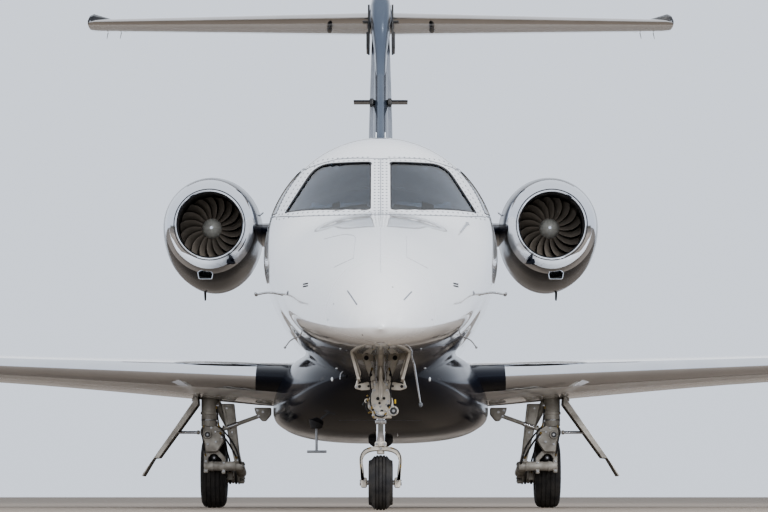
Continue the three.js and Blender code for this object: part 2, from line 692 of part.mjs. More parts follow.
// The space inside the fin, open at its foot
function finHollow() {
  const row = (height) => [height, ...[1, 2, 3].map((column) => columnAt(FIN, column, height))];
  const rings = [FIN[0], FIN[1], row(FIN_BOX.top)].map(([height, leading, chord, ratio]) => {
    const places = [FIN_BOX.from, 0.3, FIN_BOX.to];
    const sides = places.map((along) => [along, halfThickness(along, ratio) * chord - FIN_BOX.wall]);
    const outline = [...sides, ...sides.map(([along, half]) => [along, -half]).reverse()];
    return outline.map(([along, across]) => [across, station(leading + along * chord), height]);
  });
  return loft(rings);
}

function buildFin() {
  const whole = loft(FIN.map(finRing));
  const hingePoint = (height) => {
    const [leading, chord, ratio] = [1, 2, 3].map((column) => columnAt(FIN, column, height));
    const half = halfThickness(RUDDER_HINGE_RATIO, ratio) * chord;
    return { point: [0, station(leading + RUDDER_HINGE_RATIO * chord), height], half };
  };
  const [low, high] = RUDDER_HEIGHTS.map(hingePoint);
  const along = new THREE.Vector3(...high.point).sub(new THREE.Vector3(...low.point)).normalize();
  const aftward = new THREE.Vector3(0, along.z, -along.y);
  const corner = (point, up, back) => {
    const place = new THREE.Vector3(...point).addScaledVector(along, up).addScaledVector(aftward, back);
    return [place.y + LENGTH / 2, place.z];
  };
  const region = (gap) => alongX(polygon([
    corner(low.point, -gap, 0), corner(low.point, -gap, 2600), corner(high.point, gap, 2600), corner(high.point, gap, 0),
  ]), -400, 400);
  const shift = (point, distance) => point.map((value, axis) => value + along.getComponent(axis) * distance);
  const nose = rod(low.point, high.point, low.half - 1.5, high.half - 1.5, 12);
  const [cutStart, cutEnd] = [shift(low.point, -SURFACE_END_GAP), shift(high.point, SURFACE_END_GAP)];
  const noseCut = rod(cutStart, cutEnd, low.half + SURFACE_GAP, high.half + SURFACE_GAP, 12);
  const tail = wingLoft(TAILPLANE, FIT_GAP);
  const top = [bulletBody(FIT_GAP), tail, tail.mirror([1, 0, 0])];
  const { halfSpan, from, to, low: bladeLow, high: bladeHigh } = FIN_BLADE;
  const blades = box(-halfSpan, halfSpan, station(from), station(to), bladeLow, bladeHigh);
  const fin = cut(join(whole, blades), region(SURFACE_END_GAP), noseCut, fuselageOutside, finHollow(), ...top);
  addMesh(model, 'fin', largest(fin), pearlPaint);
  const pinReach = SURFACE_END_GAP - FIT_GAP;
  const pin = rod(shift(low.point, -pinReach), shift(high.point, pinReach), HINGE_PIN_RADIUS);
  addMesh(model, 'rudder', join(whole.intersect(region(0)), nose, pin), pearlPaint);
}

function largest(solid) {
  const pieces = solid.decompose();
  return pieces.reduce((best, piece) => (piece.volume() > best.volume() ? piece : best));
}

// Engines
const ENGINE_SIDES = 24;

function nacelleRing([place, halfWidth, rise, drop], grow) {
  return Array.from({ length: ENGINE_SIDES }, (_, i) => {
    const angle = (2 * Math.PI * i) / ENGINE_SIDES;
    const reach = Math.sin(angle) > 0 ? rise : drop;
    return [(halfWidth + grow) * Math.cos(angle), station(place), (reach + grow) * Math.sin(angle)];
  });
}

const nacelleBody = (grow) => loft(NACELLE.map((row) => nacelleRing(row, grow)));

function ductBody() {
  const [first, last] = [DUCT[0], DUCT.at(-1)];
  const profile = [[first[0] - 50, 0], [first[0] - 50, first[1]], ...DUCT, [last[0] + 50, last[1]], [last[0] + 50, 0]];
  return turned(profile.map(([place, radius]) => [station(place), radius]), 'y', ENGINE_SIDES);
}

function fanBlade(index) {
  const rows = [[88, 52, 62, 0, 5], [FAN_TIP, 24, 96, 26, 3]]; // radius, depth, chord across, lean, half thickness
  const rings = rows.map(([radius, depth, chord, offset, thick]) => {
    return [[-chord / 2, -depth], [-thick, -thick], [chord / 2, depth], [thick, thick]].map(([across, along]) => {
      const turn = (2 * Math.PI * index) / FAN_BLADES + (across * 0.8 + offset) / radius;
      return [radius * Math.cos(turn), along, radius * Math.sin(turn)];
    });
  });
  return loft(rings);
}

function fanSolid() {
  const spinner = [[-165, 0], [-150, 38], [-100, 76], [-40, 94], [60, 96], [60, 0]];
  const hub = turned(spinner, 'y', 12);
  const shaft = rod([0, 60 - 1, 0], [0, 9965 - FAN_STATION - FIT_GAP, 0], 45, 45, 10);
  return join(hub, shaft, ...Array.from({ length: FAN_BLADES }, (_, i) => fanBlade(i)));
}

function coreSolid() {
  const body = turned(CORE.map(([place, radius]) => [station(place), radius]), 'y', 12);
  const vanes = Array.from({ length: STATOR_VANES }, (_, i) => {
    const vane = box(-7, 7, station(10300), station(10560), 150, 340);
    return vane.rotate([0, (360 * i) / STATOR_VANES, 0]);
  });
  const wall = DUCT.map(([place, radius]) => [place, radius - FIT_GAP]);
  const profile = [[DUCT[0][0], 0], ...wall, [DUCT.at(-1)[0], 0]];
  const duct = turned(profile.map(([place, radius]) => [station(place), radius]), 'y', ENGINE_SIDES);
  return join(body, join(...vanes).intersect(duct));
}

function buildEngines() {
  const shell = cut(nacelleBody(0), ductBody());
  const scoopShape = polygon([[-20, -478], [104, -478], [119, -400], [-35, -400]]);
  const scoop = alongY(scoopShape, station(LIP_END + 8), station(9760));
  const drain = rod([89, station(10500), -505], [89, station(10560), -611], 17, 14, 8);
  const split = box(-600, 600, station(9200), station(LIP_END), -700, 600);
  const splitAft = box(-600, 600, station(9200), station(LIP_END) + FIT_GAP, -700, 600);
  const lip = shell.intersect(split);
  const nacelle = join(cut(shell, splitAft), cut(drain, nacelleBody(-20)), cut(scoop, nacelleBody(-20)));
  const core = coreSolid();
  const fan = fanSolid();
  const pylonRings = PYLON.map(([x, leading, chord, height, thickness]) => (
    wingRing([x, leading, chord, height, thickness / chord, 0, 0], 0)));
  const nacelleCut = nacelleBody(FIT_GAP).translate([ENGINE_X, 0, ENGINE_Z]);
  const pylon = largest(cut(loft(pylonRings), fuselageOutside, nacelleCut));
  for (const [name, side] of [['left', 1], ['right', -1]]) {
    const group = new THREE.Group();
    group.scale.x = side;
    addMesh(group, `pylon_${name}`, pylon, navyPaint);
    const engine = new THREE.Group();
    engine.position.set(ENGINE_X, 0, ENGINE_Z);
    addMesh(engine, `inlet_lip_${name}`, lip, polishedMetal);
    addMesh(engine, `nacelle_${name}`, nacelle, darkPaint);
    addMesh(engine, `engine_core_${name}`, core, darkMetal);
    addMesh(engine, `fan_${name}`, fan, darkMetal).position.y = station(FAN_STATION);
    group.add(engine);
    model.add(group);
  }
}

// Wheels
const WHEEL_SIDES = 20;

// Each shoulder is a share of the half width and a drop from the tread's radius
function tyreSolid({ radius, halfWidth, rim, shoulders }) {
  const wall = [[halfWidth - 14, rim], [halfWidth, (rim + radius) / 2 - 20]];
  const right = [...wall, ...shoulders.map(([share, drop]) => [share * halfWidth, radius - drop])];
  const left = right.map(([across, high]) => [-across, high]);
  return turned([...left, ...right.reverse(), left[0]], 'x', WHEEL_SIDES);
}

function rimSolid({ halfWidth, rim, axle }) {
  const edge = halfWidth - 22;
  const outer = rim - FIT_GAP;
  const bore = (axle + FIT_GAP) / Math.cos(Math.PI / WHEEL_SIDES);
  const dish = edge - 34;
  const profile = [[-edge, bore], [-dish, bore + 34], [-dish, outer - 22], [-edge, outer],
    [edge, outer], [dish, outer - 22], [dish, bore + 34], [edge, bore], [-edge, bore]];
  return turned(profile, 'x', WHEEL_SIDES);
}

function addWheel(parent, name, size, place) {
  const wheel = new THREE.Group();
  wheel.position.set(...place);
  addMesh(wheel, `${name}_tyre`, tyreSolid(size), rubber);
  addMesh(wheel, `${name}_rim`, rimSolid(size), polishedMetal);
  parent.add(wheel);
}

// Nose gear
const NOSE_BEARING = 700; // height of the top of the steering bearing
const PISTON_RADIUS = 30;
// Outlines of (x, height) corners, seen from the front
const NOSE_CASTING = [[-60, 925], [-60, 840], [-92, 775], [-92, 722], [-60, 700], [-57, 648],
  [80, 648], [84, 700], [92, 722], [90, 775], [60, 840], [60, 925]];
const NOSE_SPINE = [[-12, 1018], [12, 1018], [17, 860], [6, 776], [-6, 776], [-17, 860]];
const NOSE_YOKE = [[35, 880], [66, 905], [134, 1080], [190, 1290], [140, 1290], [78, 1080], [30, 930]];
const NOSE_WING_PLATE = [[50, 905], [100, 910], [135, 899], [185, 884], [183, 862], [140, 848], [90, 850], [50, 865]];
const NOSE_FORK_ARM = [[0, 452], [44, 452], [100, 440], [137, 412], [152, 372], [152, 340], [145, 272], [141, 215],
  [117, 215], [119, 272], [128, 340], [127, 366], [112, 392], [84, 410], [44, 418], [0, 418]];

function buildNoseGear() {
  const y = station(NOSE_GEAR_STATION);
  const axleY = y + NOSE_TRAIL;
  const bay = NOSE_BAY;
  const trunnionHeight = 1290;
  const bothSides = (solid) => join(solid, solid.mirror([1, 0, 0]));
  const plate = (outline, front, back) => alongY(polygon(outline), y + front, y + back);
  const casting = join(
    plate(NOSE_CASTING, -40, 40),
    plate(NOSE_SPINE, -90, -30),
    cut(bothSides(plate(NOSE_YOKE, -22, 22)), bothSides(rod([102, y - 30, 1080], [102, y + 30, 1080], 17))),
    cut(bothSides(plate(NOSE_WING_PLATE, -56, -30)), bothSides(rod([150, y - 60, 876], [150, y - 20, 876], 11))),
    rod([0, y + 20, 780], [0, y + 20, trunnionHeight + 40], 30),
    rod([-bay.halfWidth + FIT_GAP, y, trunnionHeight], [bay.halfWidth - FIT_GAP, y, trunnionHeight], 38),
    rod([91, y - 62, 703], [91, y + 10, 703], 36),
    rod([-98, y - 50, 774], [-98, y + 10, 774], 18),
    rod([0, y, 1000], [0, y - 560, 1330], 24),
    box(-60, 60, y - 600, y - 540, 1290, bay.roof - FIT_GAP),
  );
  const pistonBore = (PISTON_RADIUS + FIT_GAP) / Math.cos(Math.PI / 12);
  const bearing = rod([0, y, 600], [0, y, NOSE_BEARING + FIT_GAP], pistonBore, pistonBore, 12);
  addMesh(model, 'nose_gear_leg', cut(casting, bearing), gearMetal);

  const axleZ = NOSE_TYRE.radius;
  const arm = join(
    alongY(polygon(NOSE_FORK_ARM), y - 30, axleY + 26),
    box(97, 141, axleY - 38, axleY + 38, axleZ - 37, axleZ + 37),
  );
  const links = join(
    rod([0, y + 40, 622], [0, y + 150, 548], 20, 14, 8),
    rod([0, y + 150, 548], [0, y + 30, 462], 14, 20, 8),
    rod([-34, y + 150, 548], [34, y + 150, 548], 15, 15, 8),
  );
  const fork = join(
    rod([0, y, 430], [0, y, NOSE_BEARING], PISTON_RADIUS, PISTON_RADIUS, 12),
    rod([0, y, 396], [0, y, 452], 27),
    rod([0, y, 450], [0, y, 486], 42),
    rod([0, y, 608], [0, y, 640], 40),
    bothSides(arm), links,
    rod([-150, axleY, axleZ], [150, axleY, axleZ], NOSE_TYRE.axle, NOSE_TYRE.axle, 16),
  );
  addMesh(model, 'nose_gear_fork', fork, gearMetal);
  addWheel(model, 'nose_wheel', NOSE_TYRE, [0, axleY, NOSE_TYRE.radius]);

  for (const [name, side] of [['left', 1], ['right', -1]]) {
    const { from, to, top, bend, bottom, foldIn, thickness } = NOSE_DOOR;
    const outer = bay.halfWidth - FIT_GAP;
    const inner = outer - thickness;
    const panel = polygon([[inner, top], [outer, top], [outer, bend], [outer - foldIn, bottom],
      [inner - foldIn, bottom], [inner, bend]]);
    const door = alongY(panel, station(from), station(to));
    const hinged = side > 0 ? door : door.mirror([1, 0, 0]);
    addMesh(model, `nose_gear_door_${name}`, hinged, pearlPaint);
  }
}

// Main gear, port side, with outlines of (x, height) corners seen from the front
const MAIN_KNUCKLE = [[1521, 690], [1535, 640], [1521, 600], [1500, 560], [1490, 470], [1390, 470], [1330, 560],
  [1330, 650], [1395, 700], [1440, 715]];
const MAIN_LINK = [[1504, 490], [1504, 296], [1466, 296], [1466, 420], [1440, 455], [1400, 455], [1351, 405],
  [1351, 287], [1317, 287], [1317, 425], [1375, 490]];
const MAIN_SHOCK = [[1244, 884], [1359, 884], [1345, 815], [1240, 380], [1189, 380]];
const MAIN_BRACKET = [[900, 850], [1075, 850], [1062, 800], [1010, 735], [975, 735], [900, 800]];
const MAIN_DOOR = [[1562, 938], [2022, 276], [2007, 265], [1917, 417], [1872, 421], [1543, 875], [1548, 930]];
const MAIN_DOOR_POCKET = [[1586, 881], [1891, 460], [1854, 433], [1549, 854]];
const ARM_X = 1200;

function mainLegSolid() {
  const y = station(MAIN_LEG_STATION);
  const axleY = station(MAIN_STATION);
  const x = MAIN_LEG_X;
  const axleZ = MAIN_TYRE.radius;
  const inboard = MAIN_TRACK - MAIN_TYRE.halfWidth;
  const pivotY = y + 20;
  const plate = (outline, front, back) => alongY(polygon(outline), y + front, y + back);
  return join(
    rod([x, y, 690], [x, y, MAIN_BAY.roof - FIT_GAP], 69, 69, 16),
    rod([x, y, 795], [x, y, 812], 75, 75, 16),
    rod([x, y - 130, 985], [x, y + 190, 985], 46, 46, 10),
    plate(MAIN_KNUCKLE, -50, 50),
    rod([1470, y - 66, 620], [1470, y + 66, 620], 36, 36, 12),
    plate(MAIN_LINK, -10, 46),
    plate(MAIN_SHOCK, -22, 22),
    rod([1172, pivotY, 354], [1504, pivotY, 354], 40, 40, 12),
    rod([ARM_X, pivotY, 354], [ARM_X, axleY, axleZ], 42, 46, 10),
    rod([ARM_X - 30, axleY, axleZ], [MAIN_TRACK + 92, axleY, axleZ], MAIN_TYRE.axle, MAIN_TYRE.axle, 16),
    rod([ARM_X + 20, axleY, axleZ], [inboard + 14, axleY, axleZ], 118, 118, 20),
    rod([ARM_X, axleY - 90, axleZ + 30], [1270, y + 150, 690], 22, 22, 8),
    rod([1262, y + 176, 640], [1400, y + 20, 900], 34, 34, 8),
    rod([1402, y - 36, 645], [1036, y - 36, 777], 17, 17, 10),
  );
}

function buildMainGear() {
  const y = station(MAIN_LEG_STATION);
  const bracket = alongY(polygon(MAIN_BRACKET), y - 60, y + 60);
  const legs = join(mainLegSolid(), cut(bracket, fairingOutside, wingLoft(WING, FIT_GAP)));
  const wing = wingLoft(WING, FIT_GAP);
  const panel = cut(
    alongY(polygon(MAIN_DOOR), y - 190, y + 190),
    alongY(polygon(MAIN_DOOR_POCKET), y - 176, y + 176),
  );
  const lugShape = polygon([[1548, 900], [1600, 900], [1600, 990], [1562, 990]]);
  const lugs = [-150, 150].map((offset) => alongY(lugShape, y + offset - 15, y + offset + 15));
  const link = rod([1535 + FIT_GAP, y, 640], [1768, y, 640], 12, 12, 8);
  const door = cut(join(panel, ...lugs, link), wing);
  for (const [name, side] of [['left', 1], ['right', -1]]) {
    const group = new THREE.Group();
    group.scale.x = side;
    addMesh(group, `main_gear_leg_${name}`, legs, gearMetal);
    addMesh(group, `main_gear_door_${name}`, largest(door), pearlPaint);
    addWheel(group, `main_wheel_${name}`, MAIN_TYRE, [MAIN_TRACK, station(MAIN_STATION), MAIN_TYRE.radius]);
    model.add(group);
  }
}

function buildBellyMast() {
  const [x, y] = [-514, station(5900)];
  const stem = join(
    rod([x, y, 640], [x, y, 900], 68, 68, 16),
    rod([x, y, 455], [x, y, 660], 11, 11, 8),
    rod([x - 78, y, 455], [x + 82, y, 455], 11, 11, 8),
  );
  addMesh(model, 'belly_mast', largest(cut(stem, fairingOutside, fuselageOutside)), darkMetal);
}

buildFuselage();
buildGlass();
buildEntryDoor();
buildCabin();
buildSeats();
buildWings();
buildTailplane();
buildFin();
buildEngines();
buildNoseGear();
buildMainGear();
buildBellyMast();

export default model;
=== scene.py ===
# Light business jet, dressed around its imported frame: pearl and navy paint, polished leading edges,
# engines, glass, cabin and landing gear. Sizes in the tables are millimetres, and "place" is the
# distance aft of the nose tip. Port side is +X, the nose points to -Y.
import math
import bpy
import bmesh
from mathutils import Matrix, Vector
from mathutils.bvhtree import BVHTree


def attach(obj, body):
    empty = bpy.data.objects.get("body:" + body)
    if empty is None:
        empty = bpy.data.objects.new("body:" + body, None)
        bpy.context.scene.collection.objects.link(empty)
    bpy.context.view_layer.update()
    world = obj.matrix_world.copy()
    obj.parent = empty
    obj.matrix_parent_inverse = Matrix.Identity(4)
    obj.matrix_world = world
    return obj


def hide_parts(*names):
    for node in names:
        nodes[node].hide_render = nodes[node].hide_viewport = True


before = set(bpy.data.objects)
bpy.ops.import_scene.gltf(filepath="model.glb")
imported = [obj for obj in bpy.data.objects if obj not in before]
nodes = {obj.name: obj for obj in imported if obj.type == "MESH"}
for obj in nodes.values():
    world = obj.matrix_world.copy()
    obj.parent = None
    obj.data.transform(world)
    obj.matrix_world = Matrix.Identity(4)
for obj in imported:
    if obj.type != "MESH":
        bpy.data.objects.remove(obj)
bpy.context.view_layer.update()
mm = 0.001
length = 15640
bothSides = (("left", 1), ("right", -1))


# Curves and tables

def at(x, place, z):
    return Vector((x, place - length / 2, z)) * mm


def smoothColumn(table, column, place):
    last = len(table) - 1
    row = next((i for i, line in enumerate(table) if line[0] >= place), last)
    row = max(1, row)
    before, start, end, after = (table[min(max(r, 0), last)] for r in (row - 2, row - 1, row, row + 1))
    span = end[0] - start[0]
    t = min(max((place - start[0]) / span, 0), 1)

    def slope(low, high):
        return (high[column] - low[column]) / (high[0] - low[0]) if high[0] > low[0] else 0

    middle = slope(start, end)

    def limit(value):
        return 0 if value * middle <= 0 else math.copysign(min(abs(value), 2.5 * abs(middle)), middle)

    startSlope = limit(slope(before, end)) if row > 1 else middle
    endSlope = limit(slope(start, after)) if row < last else middle
    t2, t3 = t * t, t ** 3
    return ((2 * t3 - 3 * t2 + 1) * start[column] + (t3 - 2 * t2 + t) * span * startSlope
            + (3 * t2 - 2 * t3) * end[column] + (t3 - t2) * span * endSlope)


def straightColumn(table, column, place):
    row = next((i for i, line in enumerate(table) if line[0] >= place), len(table) - 1)
    start, end = table[max(row, 1) - 1], table[max(row, 1)]
    return start[column] + (end[column] - start[column]) * (place - start[0]) / (end[0] - start[0])


def steps(start, end, size):
    count = max(1, round((end - start) / size))
    return [start + (end - start) * i / count for i in range(count + 1)]


def angles(count):
    return [2 * math.pi * i / count for i in range(count)]


def roundedOutline(corners, radius, detail=6):
    outline = []
    for i, corner in enumerate(corners):
        reach = corner[2] if len(corner) > 2 else radius
        here = Vector(corner[:2])
        if reach == 0:
            outline.append(here)
            continue
        before = Vector(corners[i - 1][:2])
        after = Vector(corners[(i + 1) % len(corners)][:2])
        start = here + (before - here).normalized() * reach
        end = here + (after - here).normalized() * reach
        for k in range(detail + 1):
            t = k / detail
            outline.append(start * (1 - t) ** 2 + here * 2 * t * (1 - t) + end * t * t)
    return outline


# Mesh helpers: every maker adds to a bmesh, in metres

def addRings(mesh, rings, material=0, caps=True, loop=False):
    rows = [[mesh.verts.new(point) for point in ring] for ring in rings]
    count = len(rows[0])
    pairs = list(zip(rows, rows[1:])) + ([(rows[-1], rows[0])] if loop else [])
    faces = []
    for low, high in pairs:
        for i in range(count):
            j = (i + 1) % count
            faces.append(mesh.faces.new((low[i], low[j], high[j], high[i])))
    if caps and not loop:
        faces.append(mesh.faces.new(rows[0][::-1]))
        faces.append(mesh.faces.new(rows[-1]))
    for face in faces:
        face.material_index = material
    return faces


def axisFrame(direction):
    direction = direction.normalized()
    helper = Vector((0, 0, 1)) if abs(direction.z) < 0.9 else Vector((0, 1, 0))
    side = direction.cross(helper).normalized()
    return side, direction.cross(side).normalized()


def addTurned(mesh, start, end, profile, sides=24, material=0, loop=False):
    start, end = Vector(start), Vector(end)
    direction = (end - start).normalized()
    side, up = axisFrame(direction)
    rings = []
    for along, radius in profile:
        centre = start + direction * along * mm
        rings.append([centre + (side * math.cos(a) + up * math.sin(a)) * max(radius, 0.05) * mm
                      for a in angles(sides)])
    return addRings(mesh, rings, material, loop=loop)


def addRod(mesh, start, end, radius, endRadius=None, sides=20, material=0, edge=None):
    start, end = Vector(start), Vector(end)
    reach = (end - start).length / mm
    endRadius = radius if endRadius is None else endRadius
    edge = min(radius, endRadius, reach / 2) * 0.18 if edge is None else edge
    profile = [(0, radius - edge), (edge, radius), (reach - edge, endRadius), (reach, endRadius - edge)]
    return addTurned(mesh, start, end, profile, sides, material)


def addTube(mesh, points, radius, sides=12, material=0, flatten=1.0, radii=None):
    points = [Vector(p) for p in points]
    rings = []
    previous = None
    for i, point in enumerate(points):
        ahead = points[min(i + 1, len(points) - 1)]
        behind = points[max(i - 1, 0)]
        direction = (ahead - behind).normalized()
        if previous is None:
            side, up = axisFrame(direction)
        else:
            side = (previous - direction * previous.dot(direction)).normalized()
            up = direction.cross(side).normalized()
        previous = side
        size = (radii[i] if radii else radius) * mm
        rings.append([point + (side * math.cos(a) * flatten + up * math.sin(a)) * size
                      for a in angles(sides)])
    return addRings(mesh, rings, material)


def smoothPath(points, detail=6):
    points = [Vector(p) for p in points]
    path = []
    for i in range(len(points) - 1):
        a, b = points[max(i - 1, 0)], points[i]
        c, d = points[i + 1], points[min(i + 2, len(points) - 1)]
        for k in range(detail):
            t = k / detail
            path.append(0.5 * ((2 * b) + (c - a) * t + (2 * a - 5 * b + 4 * c - d) * t * t
                               + (3 * b - a - 3 * c + d) * t ** 3))
    return path + [points[-1]]


def addRibbon(mesh, path, width, rise=0.6, material=0, loop=False):
    rings = []
    last = len(path) - 1
    for i, (point, normal) in enumerate(path):
        ahead = path[(i + 1) % len(path)][0] if loop or i < last else point
        behind = path[i - 1][0] if loop or i else point
        across = normal.cross(ahead - behind).normalized() * width / 2 * mm
        top, foot = point + normal * rise * mm, point - normal * 4 * mm
        rings.append([foot - across, top - across, top + across, foot + across])
    addRings(mesh, rings, material, caps=not loop, loop=loop)


def spotsAlong(corners, size, closed=False):
    corners = [Vector(corner[:2]) for corner in corners]
    if closed:
        corners.append(corners[0])
    spots = []
    for start, end in zip(corners, corners[1:]):
        count = max(1, round((end - start).length / size))
        spots += [start.lerp(end, k / count) for k in range(count)]
    return spots if closed else spots + [corners[-1]]


def evenSpots(corners, size, closed=False):
    corners = [Vector(corner[:2]) for corner in corners]
    if closed:
        corners.append(corners[0])
    spots, left = [], size / 2
    for start, end in zip(corners, corners[1:]):
        reach = (end - start).length
        while left <= reach:
            spots.append(start.lerp(end, left / reach))
            left += size
        left -= reach
    return spots


def frontPoint(rows, squareness, span, x, z):
    low, high = span
    for _ in range(26):
        place = (low + high) / 2
        halfWidth, top, bottom, widest = (smoothColumn(rows, c, place) for c in (1, 2, 3, 4))
        reach = top - widest if z > widest else widest - bottom
        inside = abs(x / halfWidth) ** squareness + abs((z - widest) / reach) ** squareness < 1
        low, high = (low, place) if inside else (place, high)
    return at(x, place, z)


def facedPoint(pointAt, u, v, flip=1):
    across = pointAt(u + 3, v) - pointAt(u - 3, v)
    up = pointAt(u, v + 3) - pointAt(u, v - 3)
    return pointAt(u, v), across.cross(up).normalized() * flip


def addSeam(mesh, pointAt, corners, width, rise=0.6, material=0, closed=False, flip=1, size=20):
    path = [facedPoint(pointAt, u, v, flip) for u, v in spotsAlong(corners, size, closed)]
    addRibbon(mesh, path, width, rise, material, closed)


def addStuds(mesh, pointAt, spots, radius, rise=0.8, material=0, flip=1, sides=6):
    profile = [(0, radius), (2 + rise * 0.6, radius * 0.9), (2 + rise, radius * 0.4)]
    for u, v in spots:
        point, normal = facedPoint(pointAt, u, v, flip)
        addTurned(mesh, point - normal * 2 * mm, point + normal, profile, sides, material)


def addBlock(mesh, low, high, edge, material=0):
    block = bmesh.new()
    bmesh.ops.create_cube(block, size=1)
    low, high = Vector(low), Vector(high)
    for vert in block.verts:
        vert.co = Vector((low[k] + (high[k] - low[k]) * (vert.co[k] + 0.5) for k in range(3)))
    bmesh.ops.bevel(block, geom=list(block.edges), offset=edge * mm, segments=2,
                    affect="EDGES", profile=0.5)
    copies = {vert: mesh.verts.new(vert.co) for vert in block.verts}
    for face in block.faces:
        made = mesh.faces.new([copies[vert] for vert in face.verts])
        made.material_index = material
    block.free()


def makePiece(name, mesh, materials, body=None, hides=(), sharp=32):
    bmesh.ops.recalc_face_normals(mesh, faces=mesh.faces)
    data = bpy.data.meshes.new(name)
    mesh.to_mesh(data)
    mesh.free()
    piece = bpy.data.objects.new(name, data)
    bpy.context.scene.collection.objects.link(piece)
    for material in materials:
        data.materials.append(material)
    if body:
        finishPiece(piece, body, hides, sharp)
    return piece


def finishPiece(piece, body, hides=(), sharp=32):
    shadeSmooth(piece, sharp)
    normals = piece.modifiers.new("weighted", "WEIGHTED_NORMAL")
    normals.keep_sharp = True
    normals.weight = 60
    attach(piece, body)
    if hides:
        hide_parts(*hides)
    return piece


def shadeSmooth(piece, sharp):
    mesh = bmesh.new()
    mesh.from_mesh(piece.data)
    limit = math.radians(sharp)
    for face in mesh.faces:
        face.smooth = True
    for edge in mesh.edges:
        edge.smooth = len(edge.link_faces) == 2 and edge.calc_face_angle(4) < limit
    mesh.to_mesh(piece.data)
    mesh.free()


def carve(piece, tools, operation="DIFFERENCE"):
    for tool in tools:
        cut = piece.modifiers.new("carve", "BOOLEAN")
        cut.operation = operation
        cut.solver = "EXACT"
        cut.object = tool
    bpy.context.view_layer.update()
    graph = bpy.context.evaluated_depsgraph_get()
    carved = bpy.data.meshes.new_from_object(piece.evaluated_get(graph))
    piece.modifiers.clear()
    old = piece.data
    indices = [0] * len(carved.polygons)
    carved.polygons.foreach_get("material_index", indices)
    carved.materials.clear()
    for material in old.materials:
        carved.materials.append(material)
    last = max(0, len(old.materials) - 1)
    carved.polygons.foreach_set("material_index", [min(index, last) for index in indices])
    piece.data = carved
    bpy.data.meshes.remove(old)
    for tool in tools:
        bpy.data.objects.remove(tool)
    return piece


def copyOf(piece, name):
    twin = bpy.data.objects.new(name, piece.data.copy())
    bpy.context.scene.collection.objects.link(twin)
    return twin


def flipAcross(piece):
    piece.data.transform(Matrix.Scale(-1, 4, (1, 0, 0)))
    piece.data.flip_normals()


def mirrorCopy(piece, name):
    twin = copyOf(piece, name)
    flipAcross(twin)
    return twin


def finishBothSides(piece, names, bodies, hides):
    twin = mirrorCopy(piece, names.format("right"))
    piece.name = names.format("left")
    for side, part in (("left", piece), ("right", twin)):
        finishPiece(part, bodies.format(side), [hides.format(side)], 40)


def prism(outline, low, high, axis, material=1):
    order = {"x": (2, 0, 1), "y": (0, 2, 1), "z": (0, 1, 2)}[axis]
    mesh = bmesh.new()
    rings = []
    for depth in (low, high):
        points = [(u, v, depth) for u, v in outline]
        rings.append([at(*(point[i] for i in order)) for point in points])
    addRings(mesh, rings, material)
    return makePiece("tool", mesh, [])


# Shader groups and materials

def newGroup(name, inputs, outputs):
    group = bpy.data.node_groups.new(name, "ShaderNodeTree")
    for label, kind, value in inputs:
        socket = group.interface.new_socket(label, in_out="INPUT", socket_type=kind)
        socket.default_value = value
    for label, kind in outputs:
        group.interface.new_socket(label, in_out="OUTPUT", socket_type=kind)
    return group, group.nodes.new("NodeGroupInput"), group.nodes.new("NodeGroupOutput")


def mathNode(tree, operation, first, second=None, clamp=False):
    node = tree.nodes.new("ShaderNodeMath")
    node.operation = operation
    node.use_clamp = clamp
    for socket, value in zip(node.inputs, (first, second)):
        if value is None:
            continue
        if isinstance(value, (int, float)):
            socket.default_value = value
        else:
            tree.links.new(value, socket)
    return node.outputs[0]


def mapRange(tree, value, low, high, newLow=0.0, newHigh=1.0):
    node = tree.nodes.new("ShaderNodeMapRange")
    tree.links.new(value, node.inputs["Value"])
    for label, number in (("From Min", low), ("From Max", high), ("To Min", newLow), ("To Max", newHigh)):
        if isinstance(number, (int, float)):
            node.inputs[label].default_value = number
        else:
            tree.links.new(number, node.inputs[label])
    return node.outputs["Result"]


def objectPlace(tree):
    return tree.nodes.new("ShaderNodeTexCoord").outputs["Object"]


def noiseNode(tree, place, scale, detail=4.0, stretch=None):
    if stretch:
        mapping = tree.nodes.new("ShaderNodeMapping")
        mapping.inputs["Scale"].default_value = stretch
        tree.links.new(place, mapping.inputs["Vector"])
        place = mapping.outputs["Vector"]
    noise = tree.nodes.new("ShaderNodeTexNoise")
    noise.inputs["Detail"].default_value = detail
    tree.links.new(place, noise.inputs["Vector"])
    if isinstance(scale, (int, float)):
        noise.inputs["Scale"].default_value = scale
    else:
        tree.links.new(scale, noise.inputs["Scale"])
    return noise.outputs["Fac"]


def makeWearGroup():
    group, source, result = newGroup("handlingWear", [
        ("Scale", "NodeSocketFloat", 6.0), ("Contrast", "NodeSocketFloat", 0.5)],
        [("Patches", "NodeSocketFloat"), ("Streaks", "NodeSocketFloat"), ("Fine", "NodeSocketFloat")])
    place = objectPlace(group)
    broad = noiseNode(group, place, source.outputs["Scale"], 5.0)
    low = mathNode(group, "SUBTRACT", 0.5, mathNode(group, "MULTIPLY", source.outputs["Contrast"], 0.3))
    high = mathNode(group, "ADD", 0.5, mathNode(group, "MULTIPLY", source.outputs["Contrast"], 0.3))
    group.links.new(mapRange(group, broad, low, high), result.inputs["Patches"])
    streaks = noiseNode(group, place, source.outputs["Scale"], 6.0, (3.0, 0.35, 3.0))
    group.links.new(mapRange(group, streaks, 0.42, 0.75), result.inputs["Streaks"])
    group.links.new(noiseNode(group, place, 900.0, 2.0), result.inputs["Fine"])
    return group


